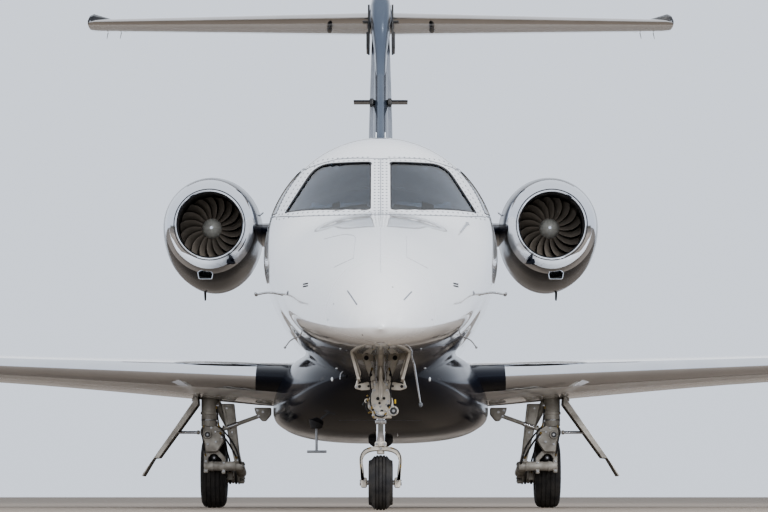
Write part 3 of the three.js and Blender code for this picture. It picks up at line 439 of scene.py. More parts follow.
def makeGrimeGroup():
    group, source, result = newGroup("groundGrime", [
        ("Low", "NodeSocketFloat", 0.3), ("High", "NodeSocketFloat", 1.4),
        ("Amount", "NodeSocketFloat", 0.5)], [("Mask", "NodeSocketFloat")])
    place = objectPlace(group)
    split = group.nodes.new("ShaderNodeSeparateXYZ")
    group.links.new(place, split.inputs[0])
    height = mapRange(group, split.outputs["Z"], source.outputs["High"], source.outputs["Low"])
    spots = mapRange(group, noiseNode(group, place, 14.0, 7.0), 0.38, 0.72)
    spotty = mathNode(group, "MULTIPLY", height, spots)
    mask = mathNode(group, "MULTIPLY", spotty, source.outputs["Amount"], True)
    group.links.new(mask, result.inputs["Mask"])
    return group


livery = {  # (place, height in metres) of the line between pearl and navy, and the stripe below it
    "line": [(0, 0.9), (1500, 1.075), (1780, 1.088), (2080, 1.106), (2420, 1.143),
             (3010, 1.204), (3390, 1.255),
             (3690, 1.305), (4000, 1.345), (4500, 1.385), (5000, 1.41), (6000, 1.44),
             (9500, 1.5), (11500, 1.75), (13200, 2.1), (15640, 2.42)],
    "top": 3.0, "stripe": (0.016, 0.031),
}


def makeLiveryGroup():
    group, source, result = newGroup("liverySplit", [("Rise", "NodeSocketFloat", 0.0)],
                                     [("Navy", "NodeSocketFloat"), ("Stripe", "NodeSocketFloat")])
    split = group.nodes.new("ShaderNodeSeparateXYZ")
    group.links.new(objectPlace(group), split.inputs[0])
    curve = group.nodes.new("ShaderNodeFloatCurve")
    along = mapRange(group, split.outputs["Y"], -length * mm / 2, length * mm / 2)
    group.links.new(along, curve.inputs["Value"])
    points = curve.mapping.curves[0].points
    while len(points) < len(livery["line"]):
        points.new(0.5, 0.5)
    for point, (place, height) in zip(points, livery["line"]):
        point.location = (place / length, height / livery["top"])
    curve.mapping.update()
    line = mathNode(group, "ADD", mathNode(group, "MULTIPLY", curve.outputs[0], livery["top"]),
                    source.outputs["Rise"])
    below = mathNode(group, "SUBTRACT", line, split.outputs["Z"])
    group.links.new(mapRange(group, below, -0.0015, 0.0015), result.inputs["Navy"])
    upper, lower = livery["stripe"]
    stripe = mathNode(group, "MULTIPLY", mapRange(group, below, upper, upper + 0.002),
                      mapRange(group, below, lower, lower - 0.002))
    group.links.new(stripe, result.inputs["Stripe"])
    return group


wearGroup = makeWearGroup()
grimeGroup = makeGrimeGroup()
liveryGroup = makeLiveryGroup()


def newMaterial(name):
    material = bpy.data.materials.new(name)
    material.use_nodes = True
    tree = material.node_tree
    return material, tree, tree.nodes["Principled BSDF"]


def placeGroup(tree, group, **values):
    node = tree.nodes.new("ShaderNodeGroup")
    node.node_tree = group
    for label, value in values.items():
        node.inputs[label].default_value = value
    return node


def mixColours(tree, factor, first, second):
    node = tree.nodes.new("ShaderNodeMix")
    node.data_type = "RGBA"
    tree.links.new(factor, node.inputs[0])
    for socket, value in ((node.inputs[6], first), (node.inputs[7], second)):
        if isinstance(value, tuple):
            socket.default_value = (*value, 1)
        else:
            tree.links.new(value, socket)
    return node.outputs[2]


def bumpInto(tree, shader, height, strength, distance=0.001):
    bump = tree.nodes.new("ShaderNodeBump")
    bump.inputs["Strength"].default_value = strength
    bump.inputs["Distance"].default_value = distance
    tree.links.new(height, bump.inputs["Height"])
    tree.links.new(bump.outputs["Normal"], shader.inputs["Normal"])


def finishMaterial(name, base, second, metallic, rough, wear=6.0, coat=0.0, bump=0.05, grime=None,
                   bumpScale=None, ior=None):
    material, tree, shader = newMaterial(name)
    marks = placeGroup(tree, wearGroup, Scale=wear)
    colour = mixColours(tree, marks.outputs["Patches"], base, second)
    roughness = mapRange(tree, marks.outputs["Streaks"], 0, 1, rough[0], rough[1])
    if grime:
        low, high, amount, tint = grime
        dirt = placeGroup(tree, grimeGroup, Low=low, High=high, Amount=amount)
        colour = mixColours(tree, dirt.outputs["Mask"], colour, tint)
        roughness = mathNode(tree, "ADD", roughness, mathNode(tree, "MULTIPLY", dirt.outputs["Mask"], 0.35))
    tree.links.new(colour, shader.inputs["Base Color"])
    tree.links.new(roughness, shader.inputs["Roughness"])
    shader.inputs["Metallic"].default_value = metallic
    shader.inputs["Coat Weight"].default_value = coat
    shader.inputs["Coat Roughness"].default_value = 0.03
    if ior:
        shader.inputs["IOR"].default_value = ior
    height = noiseNode(tree, objectPlace(tree), bumpScale, 3.0) if bumpScale else marks.outputs["Fine"]
    bumpInto(tree, shader, height, bump)
    return material


def makeLiveryPaint():
    material, tree, shader = newMaterial("pearlAndNavyPaint")
    marks = placeGroup(tree, wearGroup, Scale=1.6)
    zones = placeGroup(tree, liveryGroup)
    pearl = mixColours(tree, marks.outputs["Patches"], (0.80, 0.80, 0.805), (0.765, 0.77, 0.785))
    navy = mixColours(tree, marks.outputs["Patches"], (0.006, 0.008, 0.016), (0.009, 0.011, 0.02))
    dirt = placeGroup(tree, grimeGroup, Low=0.9, High=1.7, Amount=0.10)
    pearl = mixColours(tree, dirt.outputs["Mask"], pearl, (0.42, 0.38, 0.33))
    lower = mixColours(tree, zones.outputs["Stripe"], navy, (0.50, 0.52, 0.55))
    tree.links.new(mixColours(tree, zones.outputs["Navy"], pearl, lower), shader.inputs["Base Color"])
    rough = mapRange(tree, marks.outputs["Streaks"], 0, 1, 0.2, 0.28)
    tree.links.new(rough, shader.inputs["Roughness"])
    flake = mapRange(tree, zones.outputs["Navy"], 0, 1, 0.55, 0.0)
    tree.links.new(flake, shader.inputs["Metallic"])
    shader.inputs["Coat Weight"].default_value = 1.0
    shader.inputs["Coat Roughness"].default_value = 0.03
    bumpInto(tree, shader, noiseNode(tree, objectPlace(tree), 5.0, 2.0), 0.02, 0.01)
    return material


def makeGlass():
    material, tree, shader = newMaterial("tintedGlass")
    marks = placeGroup(tree, wearGroup, Scale=9.0)
    tint = mixColours(tree, marks.outputs["Patches"], (0.24, 0.31, 0.42), (0.22, 0.29, 0.39))
    tree.links.new(tint, shader.inputs["Base Color"])
    tree.links.new(mapRange(tree, marks.outputs["Streaks"], 0, 1, 0.0, 0.035), shader.inputs["Roughness"])
    shader.inputs["Metallic"].default_value = 0.0
    shader.inputs["Transmission Weight"].default_value = 1.0
    shader.inputs["IOR"].default_value = 1.45
    return material


pearlPaint = makeLiveryPaint()
glassPane = makeGlass()
whitePaint = finishMaterial("pearlPaint", (0.80, 0.80, 0.805), (0.76, 0.765, 0.78),
                            0.0, (0.15, 0.24), 1.6, 1.0,
                            grime=(0.2, 1.6, 0.12, (0.40, 0.36, 0.31)), bump=0.01)
navyPaint = finishMaterial("navyPaint", (0.004, 0.005, 0.011),
                           (0.006, 0.008, 0.014), 0.0, (0.10, 0.17), 1.6,
                           grime=(0.2, 1.2, 0.05, (0.10, 0.09, 0.08)), bump=0.01, ior=1.35)
polishedMetal = finishMaterial("polishedMetal", (0.74, 0.76, 0.80),
                               (0.70, 0.72, 0.76), 1.0, (0.035, 0.1), 3.0, bump=0.01)
cowlPaint = finishMaterial("cowlPaint", (0.010, 0.010, 0.013), (0.014, 0.013, 0.014), 0.0, (0.12, 0.2), 1.6,
                           bump=0.01, ior=1.24)
finPaint = finishMaterial("finPaint", (0.17, 0.19, 0.23), (0.15, 0.17, 0.21), 0.2,
                          (0.4, 0.5), 2.0, bump=0.01)
tailMetal = finishMaterial("tailMetal", (0.60, 0.585, 0.575), (0.56, 0.545, 0.535), 1.0,
                           (0.035, 0.1), 3.0, bump=0.01)
edgePaint = finishMaterial("leadingEdgePaint", (0.10, 0.12, 0.155),
                           (0.085, 0.105, 0.14), 0.6, (0.14, 0.22), 2.0, 0.25, bump=0.01)
brushedMetal = finishMaterial("brushedMetal", (0.62, 0.63, 0.65),
                              (0.50, 0.51, 0.53), 1.0, (0.25, 0.42), 12.0)
chromePlate = finishMaterial("chromePlate", (0.88, 0.88, 0.90), (0.84, 0.84, 0.86), 1.0,
                             (0.03, 0.09), 8.0, bump=0.01)
gearEnamel = finishMaterial("gearEnamel", (0.62, 0.585, 0.53), (0.50, 0.47, 0.42),
                            0.1, (0.3, 0.48), 14.0, 0.3,
                            grime=(0.1, 1.3, 0.5, (0.15, 0.13, 0.105)), bump=0.12)
darkSteel = finishMaterial("darkSteel", (0.06, 0.062, 0.068), (0.10, 0.098, 0.095), 0.85,
                           (0.32, 0.5), 10.0, bump=0.1)
fanMetal = finishMaterial("fanMetal", (0.21, 0.185, 0.16), (0.17, 0.15, 0.13), 0.15,
                          (0.5, 0.62), 9.0, bump=0.02)
spinnerMetal = finishMaterial("spinnerMetal", (0.62, 0.62, 0.58), (0.50, 0.50, 0.47),
                              0.05, (0.3, 0.42), 12.0, 0.3)
ductMetal = finishMaterial("ductLining", (0.022, 0.022, 0.024),
                           (0.034, 0.034, 0.036), 0.2, (0.4, 0.55), 8.0)
rubberBlack = finishMaterial("blackRubber", (0.016, 0.016, 0.018),
                             (0.024, 0.023, 0.024), 0.0, (0.55, 0.75), 20.0, bump=0.2, bumpScale=260.0)
tyreRubber = finishMaterial("tyreRubber", (0.018, 0.018, 0.02),
                            (0.034, 0.032, 0.03), 0.0, (0.62, 0.85), 11.0,
                            grime=(0.0, 0.5, 0.35, (0.12, 0.11, 0.10)), bump=0.35, bumpScale=320.0)
cabinTrim = finishMaterial("cabinTrim", (0.50, 0.49, 0.46), (0.46, 0.45, 0.43), 0.0,
                           (0.5, 0.65), 7.0, bump=0.15, bumpScale=400.0)
panelPlastic = finishMaterial("panelPlastic", (0.045, 0.047, 0.052),
                              (0.06, 0.06, 0.065), 0.0, (0.45, 0.6), 9.0, bump=0.2, bumpScale=600.0)
carpet = finishMaterial("carpet", (0.26, 0.23, 0.19), (0.21, 0.19, 0.16), 0.0, (0.85, 0.95), 30.0, bump=0.8,
                        bumpScale=900.0)
leather = finishMaterial("paleLeather", (0.60, 0.54, 0.45), (0.53, 0.47, 0.39), 0.0,
                         (0.38, 0.52), 9.0, bump=0.45, bumpScale=420.0)
seamLeather = finishMaterial("seamLeather", (0.34, 0.29, 0.23), (0.28, 0.24, 0.19), 0.0, (0.5, 0.65), 20.0)
# Main gear enamel: the gear enamel made darker and browner as painted shade, standing in for the wing's
# shadow on the main legs
shadedMainEnamel = finishMaterial("mainGearEnamelPaintedShade", (0.36, 0.345, 0.315), (0.28, 0.265, 0.24),
                            0.1, (0.34, 0.5), 14.0, 0.2,
                            grime=(0.1, 1.3, 0.6, (0.10, 0.088, 0.075)), bump=0.12)
# Inner side of the main gear doors: dark brown as painted shade on faces turned away from the light
doorInnerPaintedShade = finishMaterial("doorInnerPaintedShade", (0.17, 0.15, 0.125), (0.13, 0.115, 0.095), 0.0, (0.5, 0.7), 12.0,
                           grime=(0.1, 1.3, 0.5, (0.08, 0.07, 0.06)), bump=0.1)
mastMetal = finishMaterial("mastMetal", (0.34, 0.35, 0.37), (0.26, 0.27, 0.29), 0.3, (0.35, 0.5), 12.0)
seamLine = finishMaterial("seamLine", (0.42, 0.43, 0.46), (0.36, 0.37, 0.40), 0.0, (0.4, 0.6), 20.0)
lampGlass = finishMaterial("lampGlass", (0.80, 0.84, 0.86), (0.70, 0.74, 0.76), 0.1,
                           (0.05, 0.12), 20.0, 1.0, bump=0.01)
yellowKnob = finishMaterial("yellowKnob", (0.75, 0.52, 0.06), (0.62, 0.42, 0.05), 0.0, (0.4, 0.6), 20.0)
seamGrey = finishMaterial("seamGrey", (0.13, 0.14, 0.16), (0.18, 0.19, 0.21), 0.0, (0.5, 0.7), 20.0)
brassFitting = finishMaterial("brassFitting", (0.36, 0.26, 0.10), (0.27, 0.19, 0.07), 0.8, (0.3, 0.5), 20.0)
print("materials ready")


# Camera, floor and light

cameraSetup = {"distance": 34.52, "height": 0.10, "lens": 190.5, "pitch": 3.38, "yaw": -0.047}


def makeCamera():
    data = bpy.data.cameras.new("camera")
    data.lens = cameraSetup["lens"]
    data.clip_end = 500
    camera = bpy.data.objects.new("camera", data)
    camera.location = (0, -cameraSetup["distance"], cameraSetup["height"])
    camera.rotation_euler = (math.radians(90 + cameraSetup["pitch"]), 0, math.radians(cameraSetup["yaw"]))
    bpy.context.scene.collection.objects.link(camera)
    bpy.context.scene.camera = camera


floorSetup = {"reach": 300, "colour": (0.150, 0.130, 0.110), "roughness": 0.8,
              "glowColour": (0.19, 0.15, 0.115), "glow": 0.26}


def makeFloor():
    mesh = bmesh.new()
    reach = floorSetup["reach"]
    for x, y in ((-1, -1), (1, -1), (1, 1), (-1, 1)):
        mesh.verts.new((x * reach, y * reach, 0))
    mesh.faces.new(mesh.verts)
    floorPaint, _, shader = newMaterial("paleFloor")
    shader.inputs["Base Color"].default_value = (*floorSetup["colour"], 1)
    shader.inputs["Roughness"].default_value = floorSetup["roughness"]
    shader.inputs["Emission Color"].default_value = (*floorSetup["glowColour"], 1)
    shader.inputs["Emission Strength"].default_value = floorSetup["glow"]
    floor = makePiece("floor", mesh, [floorPaint])


lightSetup = {
    "zenith": (0.88, 0.92, 0.98), "horizon": (0.78, 0.84, 0.94), "ground": (0.19, 0.165, 0.14),
    "hedge": (0.16, 0.155, 0.14), "skyStrength": 1.06,
    "lamps": [  # place, size, power, aim, whether it shows in reflections
        ((10, -24, 22), 5, 6500, (0, -4, 1.6), False),
        ((22, -10, 13), 6, 3800, (0, -2, 0.8), False),
        ((-22, -10, 13), 6, 2600, (0, -2, 0.8), False),
        ((7, -26, 9.5), 0.8, 700, (0, -7, 1.6), True),
        ((-16, -18, 14), 10, 900, (0, -3, 1.6), False),
        ((0, 18, 13), 12, 900, (0, 2, 2), False),
        ((0, -30, 5), 9, 2200, (0, -4, 1.6), False),
    ],
}


def makeLight():
    world = bpy.data.worlds.new("softSky")
    bpy.context.scene.world = world
    world.use_nodes = True
    tree = world.node_tree
    background = tree.nodes["Background"]
    split = tree.nodes.new("ShaderNodeSeparateXYZ")
    tree.links.new(tree.nodes.new("ShaderNodeTexCoord").outputs["Generated"], split.inputs[0])
    rise = mapRange(tree, split.outputs["Z"], 0.0, 0.7)
    sky = mixColours(tree, rise, lightSetup["horizon"], lightSetup["zenith"])
    clear = mathNode(tree, "MAXIMUM", mapRange(tree, split.outputs["Z"], 0.035, 0.06),
                     mapRange(tree, split.outputs["Y"], -0.3, 0.0))
    sky = mixColours(tree, clear, lightSetup["hedge"], sky)
    aboveGround = mapRange(tree, split.outputs["Z"], -0.003, 0.0)
    tree.links.new(mixColours(tree, aboveGround, lightSetup["ground"], sky), background.inputs["Color"])
    background.inputs["Strength"].default_value = lightSetup["skyStrength"]
    for i, (place, size, power, aim, shows) in enumerate(lightSetup["lamps"]):
        data = bpy.data.lights.new(f"softbox_{i}", "AREA")
        data.size = size
        data.energy = power
        lamp = bpy.data.objects.new(f"softbox_{i}", data)
        lamp.location = place
        lamp.visible_glossy = shows
        lamp.rotation_mode = "QUATERNION"
        lamp.rotation_quaternion = (Vector(aim) - Vector(place)).to_track_quat("-Z", "Y")
        bpy.context.scene.collection.objects.link(lamp)


makeCamera()
makeFloor()
makeLight()
bpy.context.scene.view_settings.look = "AgX - Medium High Contrast"
print("camera, floor and light ready")


# Fuselage: place, half width, crown, keel and belt heights

fuselage = {
    "rows": [
        (0, 12, 1218, 1194, 1206), (50, 116, 1318, 1138, 1208), (180, 218, 1442, 1106, 1214),
        (420, 322, 1586, 1093, 1234), (800, 436, 1740, 1086, 1276), (1300, 549, 1880, 1084, 1344),
        (1800, 642, 1986, 1084, 1444), (2300, 716, 2078, 1068, 1578), (2850, 782, 2178, 1038, 1735),
        (3300, 826, 2395, 1014, 1803), (3700, 858, 2600, 1000, 1860), (4100, 884, 2775, 992, 1900),
        (4500, 899, 2855, 990, 1920), (5000, 905, 2882, 990, 1932), (5420, 905, 2885, 990, 1935),
        (9700, 905, 2885, 990, 1935), (10500, 892, 2885, 1062, 1957), (11300, 842, 2872, 1230, 2008),
        (12100, 750, 2830, 1462, 2094), (12900, 616, 2758, 1722, 2202), (13700, 438, 2648, 1984, 2308),
        (14250, 286, 2548, 2152, 2348), (14600, 150, 2452, 2248, 2350)],
    "joints": [0, 620, 2500, 5420, 9700, 14600], "tipPlaces": {8, 20, 35, 50, 80, 120, 180, 240},
    "wall": 80, "sides": 96, "gap": 0.3, "plainFrom": 3500,
    "noseBay": {"halfWidth": 217, "from": 1640, "to": 2420, "low": 900, "roof": 1400},
    "windscreen": [(77, 2190), (77, 2598), (483, 2600), (706, 2214)], "windscreenRadii": [22, 22, 110, 15],
    "sideWindow": [(3885, 2226), (4240, 2572), (4440, 2580), (4500, 2252)],
    "door": {"from": 4620, "to": 5340, "sill": 1262, "head": 2640, "radius": 150, "gap": 6,
             "edge": {"x": (634, 680), "place": (4560, 5400), "z": (1250, 1266)}},
    "window": {"width": 290, "height": 400, "middle": 2130, "radius": 130},
    "portWindows": [5900, 6720, 7540, 8360], "starboardWindows": [5900, 6720, 7540, 8360, 9100],
}


def skinPoint(place, angle, inset=0.0):
    halfWidth, crown, keel, belt = (smoothColumn(fuselage["rows"], c, place) for c in (1, 2, 3, 4))
    rise = crown - belt if math.sin(angle) > 0 else belt - keel
    return at((halfWidth - inset) * math.cos(angle), place, belt + (rise - inset) * math.sin(angle))


def sidePoint(place, height, side, inset=0.0):
    crown, keel, belt = (smoothColumn(fuselage["rows"], c, place) for c in (2, 3, 4))
    rise = crown - belt if height > belt else belt - keel
    angle = math.asin(max(-1, min(1, (height - belt) / rise)))
    point = skinPoint(place, angle, inset)
    return Vector((point.x * side, point.y, point.z))


def nosePoint(x, height):
    return frontPoint(fuselage["rows"], 2, (20, 5400), x, height)


def addBarrel(mesh, start, end, inset=0.0, material=0, size=60):
    rows = [row[0] for row in fuselage["rows"] if start + 1 < row[0] < end - 1]
    places = set(steps(start, end, size))
    if end - start < fuselage["plainFrom"]:
        places |= set(rows)
    if start == 0:
        places |= fuselage["tipPlaces"]
    around = angles(fuselage["sides"])
    addRings(mesh,
             [[skinPoint(place, angle, inset) for angle in around] for place in sorted(places)], material)


def barrelTool(start, end, inset, material=1, size=120):
    mesh = bmesh.new()
    addBarrel(mesh, start, end, inset, material, size)
    return makePiece("tool", mesh, [])


def windscreenOutline(grow):
    low, high, top, outer = fuselage["windscreen"]
    corners = [(low[0] - grow, low[1] - grow), (high[0] - grow, high[1] + grow),
               (top[0] + grow, top[1] + grow), (outer[0] + 1.6 * grow, outer[1] - grow)]
    return roundedOutline([(*c, r) for c, r in zip(corners, fuselage["windscreenRadii"])], 0, 8)


def mirrored(outline, side):
    return outline if side > 0 else [Vector((-u, v)) for u, v in outline][::-1]


def sideWindowOutline(grow):
    a, b, c, d = fuselage["sideWindow"]
    corners = [(a[0] - 2 * grow, a[1] - grow), (b[0] - grow, b[1] + grow), (c[0] + grow, c[1] + grow),
               (d[0] + grow, d[1] - grow)]
    return roundedOutline(corners, 70, 8)


def doorOutline(grow):
    door = fuselage["door"]
    low = door["sill"] - (fuselage["gap"] if grow > 0 else 0)
    return roundedOutline([(door["from"] - grow, low, 0), (door["to"] + grow, low, 0),
                           (door["to"] + grow, door["head"] + grow),
                           (door["from"] - grow, door["head"] + grow)],
                          door["radius"] + grow, 8)


def cabinWindowOutline(place, grow):
    window = fuselage["window"]
    u, v = window["width"] / 2 + grow, window["height"] / 2 + grow
    middle = window["middle"]
    return roundedOutline([(place - u, middle - v), (place + u, middle - v), (place + u, middle + v),
                           (place - u, middle + v)], window["radius"] + grow, 8)


def sideTool(outline, side):
    return prism(outline, *sorted((300 * side, 1200 * side)), "x")


def boxTool(x0, x1, place0, place1, z0, z1, material=1):
    return prism([(x0, place0), (x1, place0), (x1, place1), (x0, place1)], z0, z1, "z", material)


def makeSkin(name, start, end, size, node, tools=(), extraRings=None):
    mesh = bmesh.new()
    addBarrel(mesh, start, end, size=size)
    if extraRings:
        addRings(mesh, extraRings)
    skin = makePiece(name, mesh, [pearlPaint, cabinTrim] if tools else [pearlPaint])
    if tools:
        carve(skin, tools)
    finishPiece(skin, "airframe", [node])


def forwardTools(start, end):
    tools = [barrelTool(start, end, fuselage["wall"])]
    tools += [prism(mirrored(windscreenOutline(0), side), 2600, 4400, "y") for side in (1, -1)]
    tools += [sideTool(sideWindowOutline(0), side) for side in (1, -1)]
    return tools + [sideTool(doorOutline(fuselage["door"]["gap"]), 1)]


def cabinTools(start, end):
    tools = [barrelTool(start, end, fuselage["wall"], 1, 400)]
    for places, side in ((fuselage["portWindows"], 1), (fuselage["starboardWindows"], -1)):
        tools += [sideTool(cabinWindowOutline(place, 0), side) for place in places]
    return tools


def ventralRings():
    corners = [(12500, 1700), (14000, 2150), (14150, 1900, 40), (13900, 1660), (13300, 1560)]
    outline = roundedOutline(corners, 60)
    middle, height = 13500, 1850
    rings = []
    for x, grow in ((-22, 0.94), (-12, 1.0), (12, 1.0), (22, 0.94)):
        rings.append([at(x, middle + (u - middle) * grow, height + (v - height) * grow)
                      for u, v in outline])
    return rings


def makeNoseSkin(start, end):
    mesh = bmesh.new()
    addBarrel(mesh, start, end)
    bay = fuselage["noseBay"]
    nose = makePiece("nose_skin", mesh, [pearlPaint, gearEnamel])
    carve(nose,
          [boxTool(-bay["halfWidth"], bay["halfWidth"], bay["from"], bay["to"], bay["low"], bay["roof"])])
    finishPiece(nose, "airframe", ["nose_section"])


def makeFuselage():
    gap = fuselage["gap"]
    start, radomeEnd, noseEnd, forwardEnd, cabinEnd, tail = fuselage["joints"]
    makeSkin("radome_skin", start, radomeEnd, 30, "radome")
    makeNoseSkin(radomeEnd + gap, noseEnd)
    makeSkin("forward_skin", noseEnd + gap, forwardEnd, 45, "forward_fuselage",
             forwardTools(2720, forwardEnd + 50))
    makeSkin("cabin_skin", forwardEnd + gap, cabinEnd, 110, "cabin_fuselage",
             cabinTools(forwardEnd - 50, cabinEnd + 50))
    makeSkin("aft_skin", cabinEnd + gap, tail, 70, "aft_fuselage", extraRings=ventralRings())
    print("fuselage skins ready")


airstair = {"steps": (1480, 1720, 1960), "width": (4740, 5200), "depth": 150, "thick": 28,
            "rails": (4720, 5220), "railHeights": (1330, 1480, 1700, 1900, 2080), "railOut": 0.075}


def makeAirstair():
    mesh = bmesh.new()
    wall = fuselage["wall"]
    start, end = airstair["width"]
    for height in airstair["steps"]:
        halfWidth = sidePoint(5000, height, 1, wall).x / mm
        inner, top = halfWidth - airstair["depth"], height + airstair["thick"]
        addBlock(mesh, at(inner, start, height), at(halfWidth + 6, end, top), 6)
        for place in steps(start + 40, end - 40, 24):
            addRod(mesh, at(inner + 10, place, top + 1),
                   at(halfWidth - 10, place, top + 1), 3, sides=6, material=1)
    for place in airstair["rails"]:
        inside = [sidePoint(place, height, 1, wall + 4) for height in airstair["railHeights"]]
        rail = [p - Vector((airstair["railOut"], 0, 0)) for p in inside]
        addTube(mesh, smoothPath([inside[0], *rail[1:4], inside[4]]), 11, material=2)
    makePiece("airstair_steps", mesh, [cabinTrim, panelPlastic, brushedMetal], "entry_door")


def makeDoor():
    mesh = bmesh.new()
    addBarrel(mesh, 4400, 5420, size=45)
    door = makePiece("entry_door_panel", mesh, [pearlPaint, cabinTrim])
    carve(door, [barrelTool(4350, 5470, fuselage["wall"])])
    carve(door, [sideTool(doorOutline(0), 1)], "INTERSECT")
    # The lower edge is cut back so that it turns over the sill
    edge = fuselage["door"]["edge"]
    carve(door, [boxTool(*edge["x"], *edge["place"], *edge["z"], 0)])
    finishPiece(door, "entry_door", ["entry_door"])
    makeAirstair()
    mesh = bmesh.new()
    handle = sidePoint(4790, 1990, 1)
    addBlock(mesh, handle - Vector((0.012, 0.07, 0.022)), handle + Vector((0.004, 0.07, 0.022)), 4)
    makePiece("entry_door_handle", mesh, [brushedMetal], "entry_door")
    print("entry door ready")


def glassShell(start, end, size, toolSize=120):
    mesh = bmesh.new()
    addBarrel(mesh, start, end, 7, 0, size)
    shell = makePiece("shell", mesh, [glassPane])
    return carve(shell, [barrelTool(start - 50, end + 50, 31, 0, toolSize)])


def makePane(shell, name, tool, node):
    pane = copyOf(shell, name)
    carve(pane, [tool], "INTERSECT")
    finishPiece(pane, "airframe", [node])


def makeCabinPanes(shell, name, side):
    mesh = bmesh.new()
    for place in fuselage["portWindows"] if side > 0 else fuselage["starboardWindows"]:
        part = copyOf(shell, "part")
        carve(part, [sideTool(cabinWindowOutline(place, -0.3), side)], "INTERSECT")
        mesh.from_mesh(part.data)
        bpy.data.objects.remove(part)
    for face in mesh.faces:
        face.material_index = 0
    makePiece(f"cabin_panes_{name}", mesh, [glassPane], "airframe", [f"cabin_windows_{name}"])


def makePanes():
    forwardShell = glassShell(2500, 5420, 45)
    cabinShell = glassShell(5420, 9700, 110, 400)
    for name, side in bothSides:
        front = prism(mirrored(windscreenOutline(-0.3), side), 2600, 4400, "y", 0)
        makePane(forwardShell, f"windscreen_pane_{name}", front, f"windscreen_{name}")
        window = sideTool(sideWindowOutline(-0.3), side)
        makePane(forwardShell, f"side_window_pane_{name}", window, f"side_window_{name}")
        makeCabinPanes(cabinShell, name, side)
    bpy.data.objects.remove(forwardShell)
    bpy.data.objects.remove(cabinShell)
    print("glass ready")


makeFuselage()
makeDoor()
makePanes()


# Seams, rivets, seals and probes, as (x, height) seen from the front

windscreenTrim = {
    "seams": [[(0, 2136), (190, 2138), (446, 2148), (640, 2160), (790, 2195)],
              [(0, 2633), (186, 2641), (324, 2641), (440, 2616), (538, 2594), (585, 2580)]],
    "column": (2150, 2625, 26.5), "columnsAt": (15, 44), "loops": (22, 50),
    "pitch": 38, "rivet": 8, "rise": 2.4, "seamWidth": 5, "seal": 8, "wideSeal": 15,
}
noseTrim = {
    "seams": [[(0, 2055), (0, 1598)],
              [(-400, 1915), (-256, 1936), (-188, 1915), (-174, 1887), (-185, 1711), (-317, 1656)],
              [(179, 1905), (178, 1718), (321, 1649)]],
    "marks": [[(-222, 1468), (-157, 1364)], [(207, 1460), (154, 1397)]],
    "dots": [(-315, 1384), (-354, 1279), (16, 1210), (-120, 1160), (345, 1279), (80, 1486)],
    "vent": (520, 1555), "port": (655, 1528),
    "pitot": [(702, 1533), (795, 1545), (884, 1528)], "pitotReach": 180,
    "iceProbe": [(640, 2100), (583, 2020)], "lowerProbe": [(595, 1270), (700, 1185)],
    "sideStrip": (5600, 1760, 2016),
}


def addWindowTrim(mesh, side):
    trim = windscreenTrim
    for grow in trim["loops"]:
        spots = evenSpots(mirrored(windscreenOutline(grow), side), trim["pitch"], True)
        addStuds(mesh, nosePoint, [spot for spot in spots if abs(spot[0]) > 62],
                 trim["rivet"], trim["rise"], 2)
    addSeam(mesh, nosePoint, mirrored(windscreenOutline(2), side), trim["seal"], 1.6, 1, True)
    slanted = [(side * u, v) for u, v in windscreenOutline(5)[9:36]]
    addSeam(mesh, nosePoint, slanted, trim["wideSeal"], 1.6, 1)

    def sideAt(place, height):
        return sidePoint(place, height, side)

    addSeam(mesh, sideAt, sideWindowOutline(2), trim["seal"], 1.6, 1, True, side)
    spots = evenSpots(sideWindowOutline(24), trim["pitch"], True)
    addStuds(mesh, sideAt, spots, trim["rivet"], trim["rise"], 2, side)
    for place in fuselage["portWindows"] if side > 0 else fuselage["starboardWindows"]:
        addSeam(mesh, sideAt, cabinWindowOutline(place, 2), 6, 1.4, 1, True, side)
    place, low, high = noseTrim["sideStrip"]
    addSeam(mesh, sideAt, [(place, low), (place, high)], 26, 9, 1, flip=side, size=40)


def makeWindscreenTrim():
    trim = windscreenTrim
    mesh = bmesh.new()
    for seam in trim["seams"]:
        addSeam(mesh, nosePoint, [(-u, v) for u, v in seam[:0:-1]] + seam, trim["seamWidth"], 2, 2)
    addSeam(mesh, nosePoint, [(0, 2136), (0, 2633)], trim["seamWidth"], 2, 2)
    columns = [(x * side, z) for x in trim["columnsAt"] for side in (1, -1) for z in steps(*trim["column"])]
    addStuds(mesh, nosePoint, columns, trim["rivet"], trim["rise"], 2)
    for side in (1, -1):
        addWindowTrim(mesh, side)
    makePiece("windscreen_frame_trim", mesh, [seamLine, rubberBlack, seamGrey], "airframe", sharp=50)


def addVent(mesh, side):
    x, z = noseTrim["vent"]
    for slot in (z - 9, z + 9):
        for height, width, rise, material in ((slot, 9, 0.8, 2), (slot + 5, 2, 2.5, 1)):
            ends = [(side * (x - 18), height), (side * (x + 18), height)]
            addSeam(mesh, nosePoint, ends, width, rise, material)
    port = [(side * noseTrim["port"][0], noseTrim["port"][1])]
    addStuds(mesh, nosePoint, port, 18, 5, 1, sides=20)
    addStuds(mesh, nosePoint, port, 11, 7, 2, sides=16)


def addPitot(mesh, side):
    foot, bend, end = noseTrim["pitot"]
    reach = noseTrim["pitotReach"]
    base = nosePoint(side * foot[0], foot[1])
    path = [base - Vector((side * 0.03, -0.01, 0)), base,
            Vector((side * bend[0] * mm, base.y - 0.03, bend[1] * mm)),
            Vector((side * end[0] * mm, base.y - 0.07, end[1] * mm))]
    addTube(mesh, smoothPath(path), 8, 10, 3, radii=[11] * 7 + [8] * 12)
    tip = path[-1] - Vector((0, reach * mm, 0))
    profile = [(0, 7), (10, 10), (120, 12), (reach + 10, 13), (reach + 25, 6)]
    addTurned(mesh, tip, path[-1], profile, 16, 3)


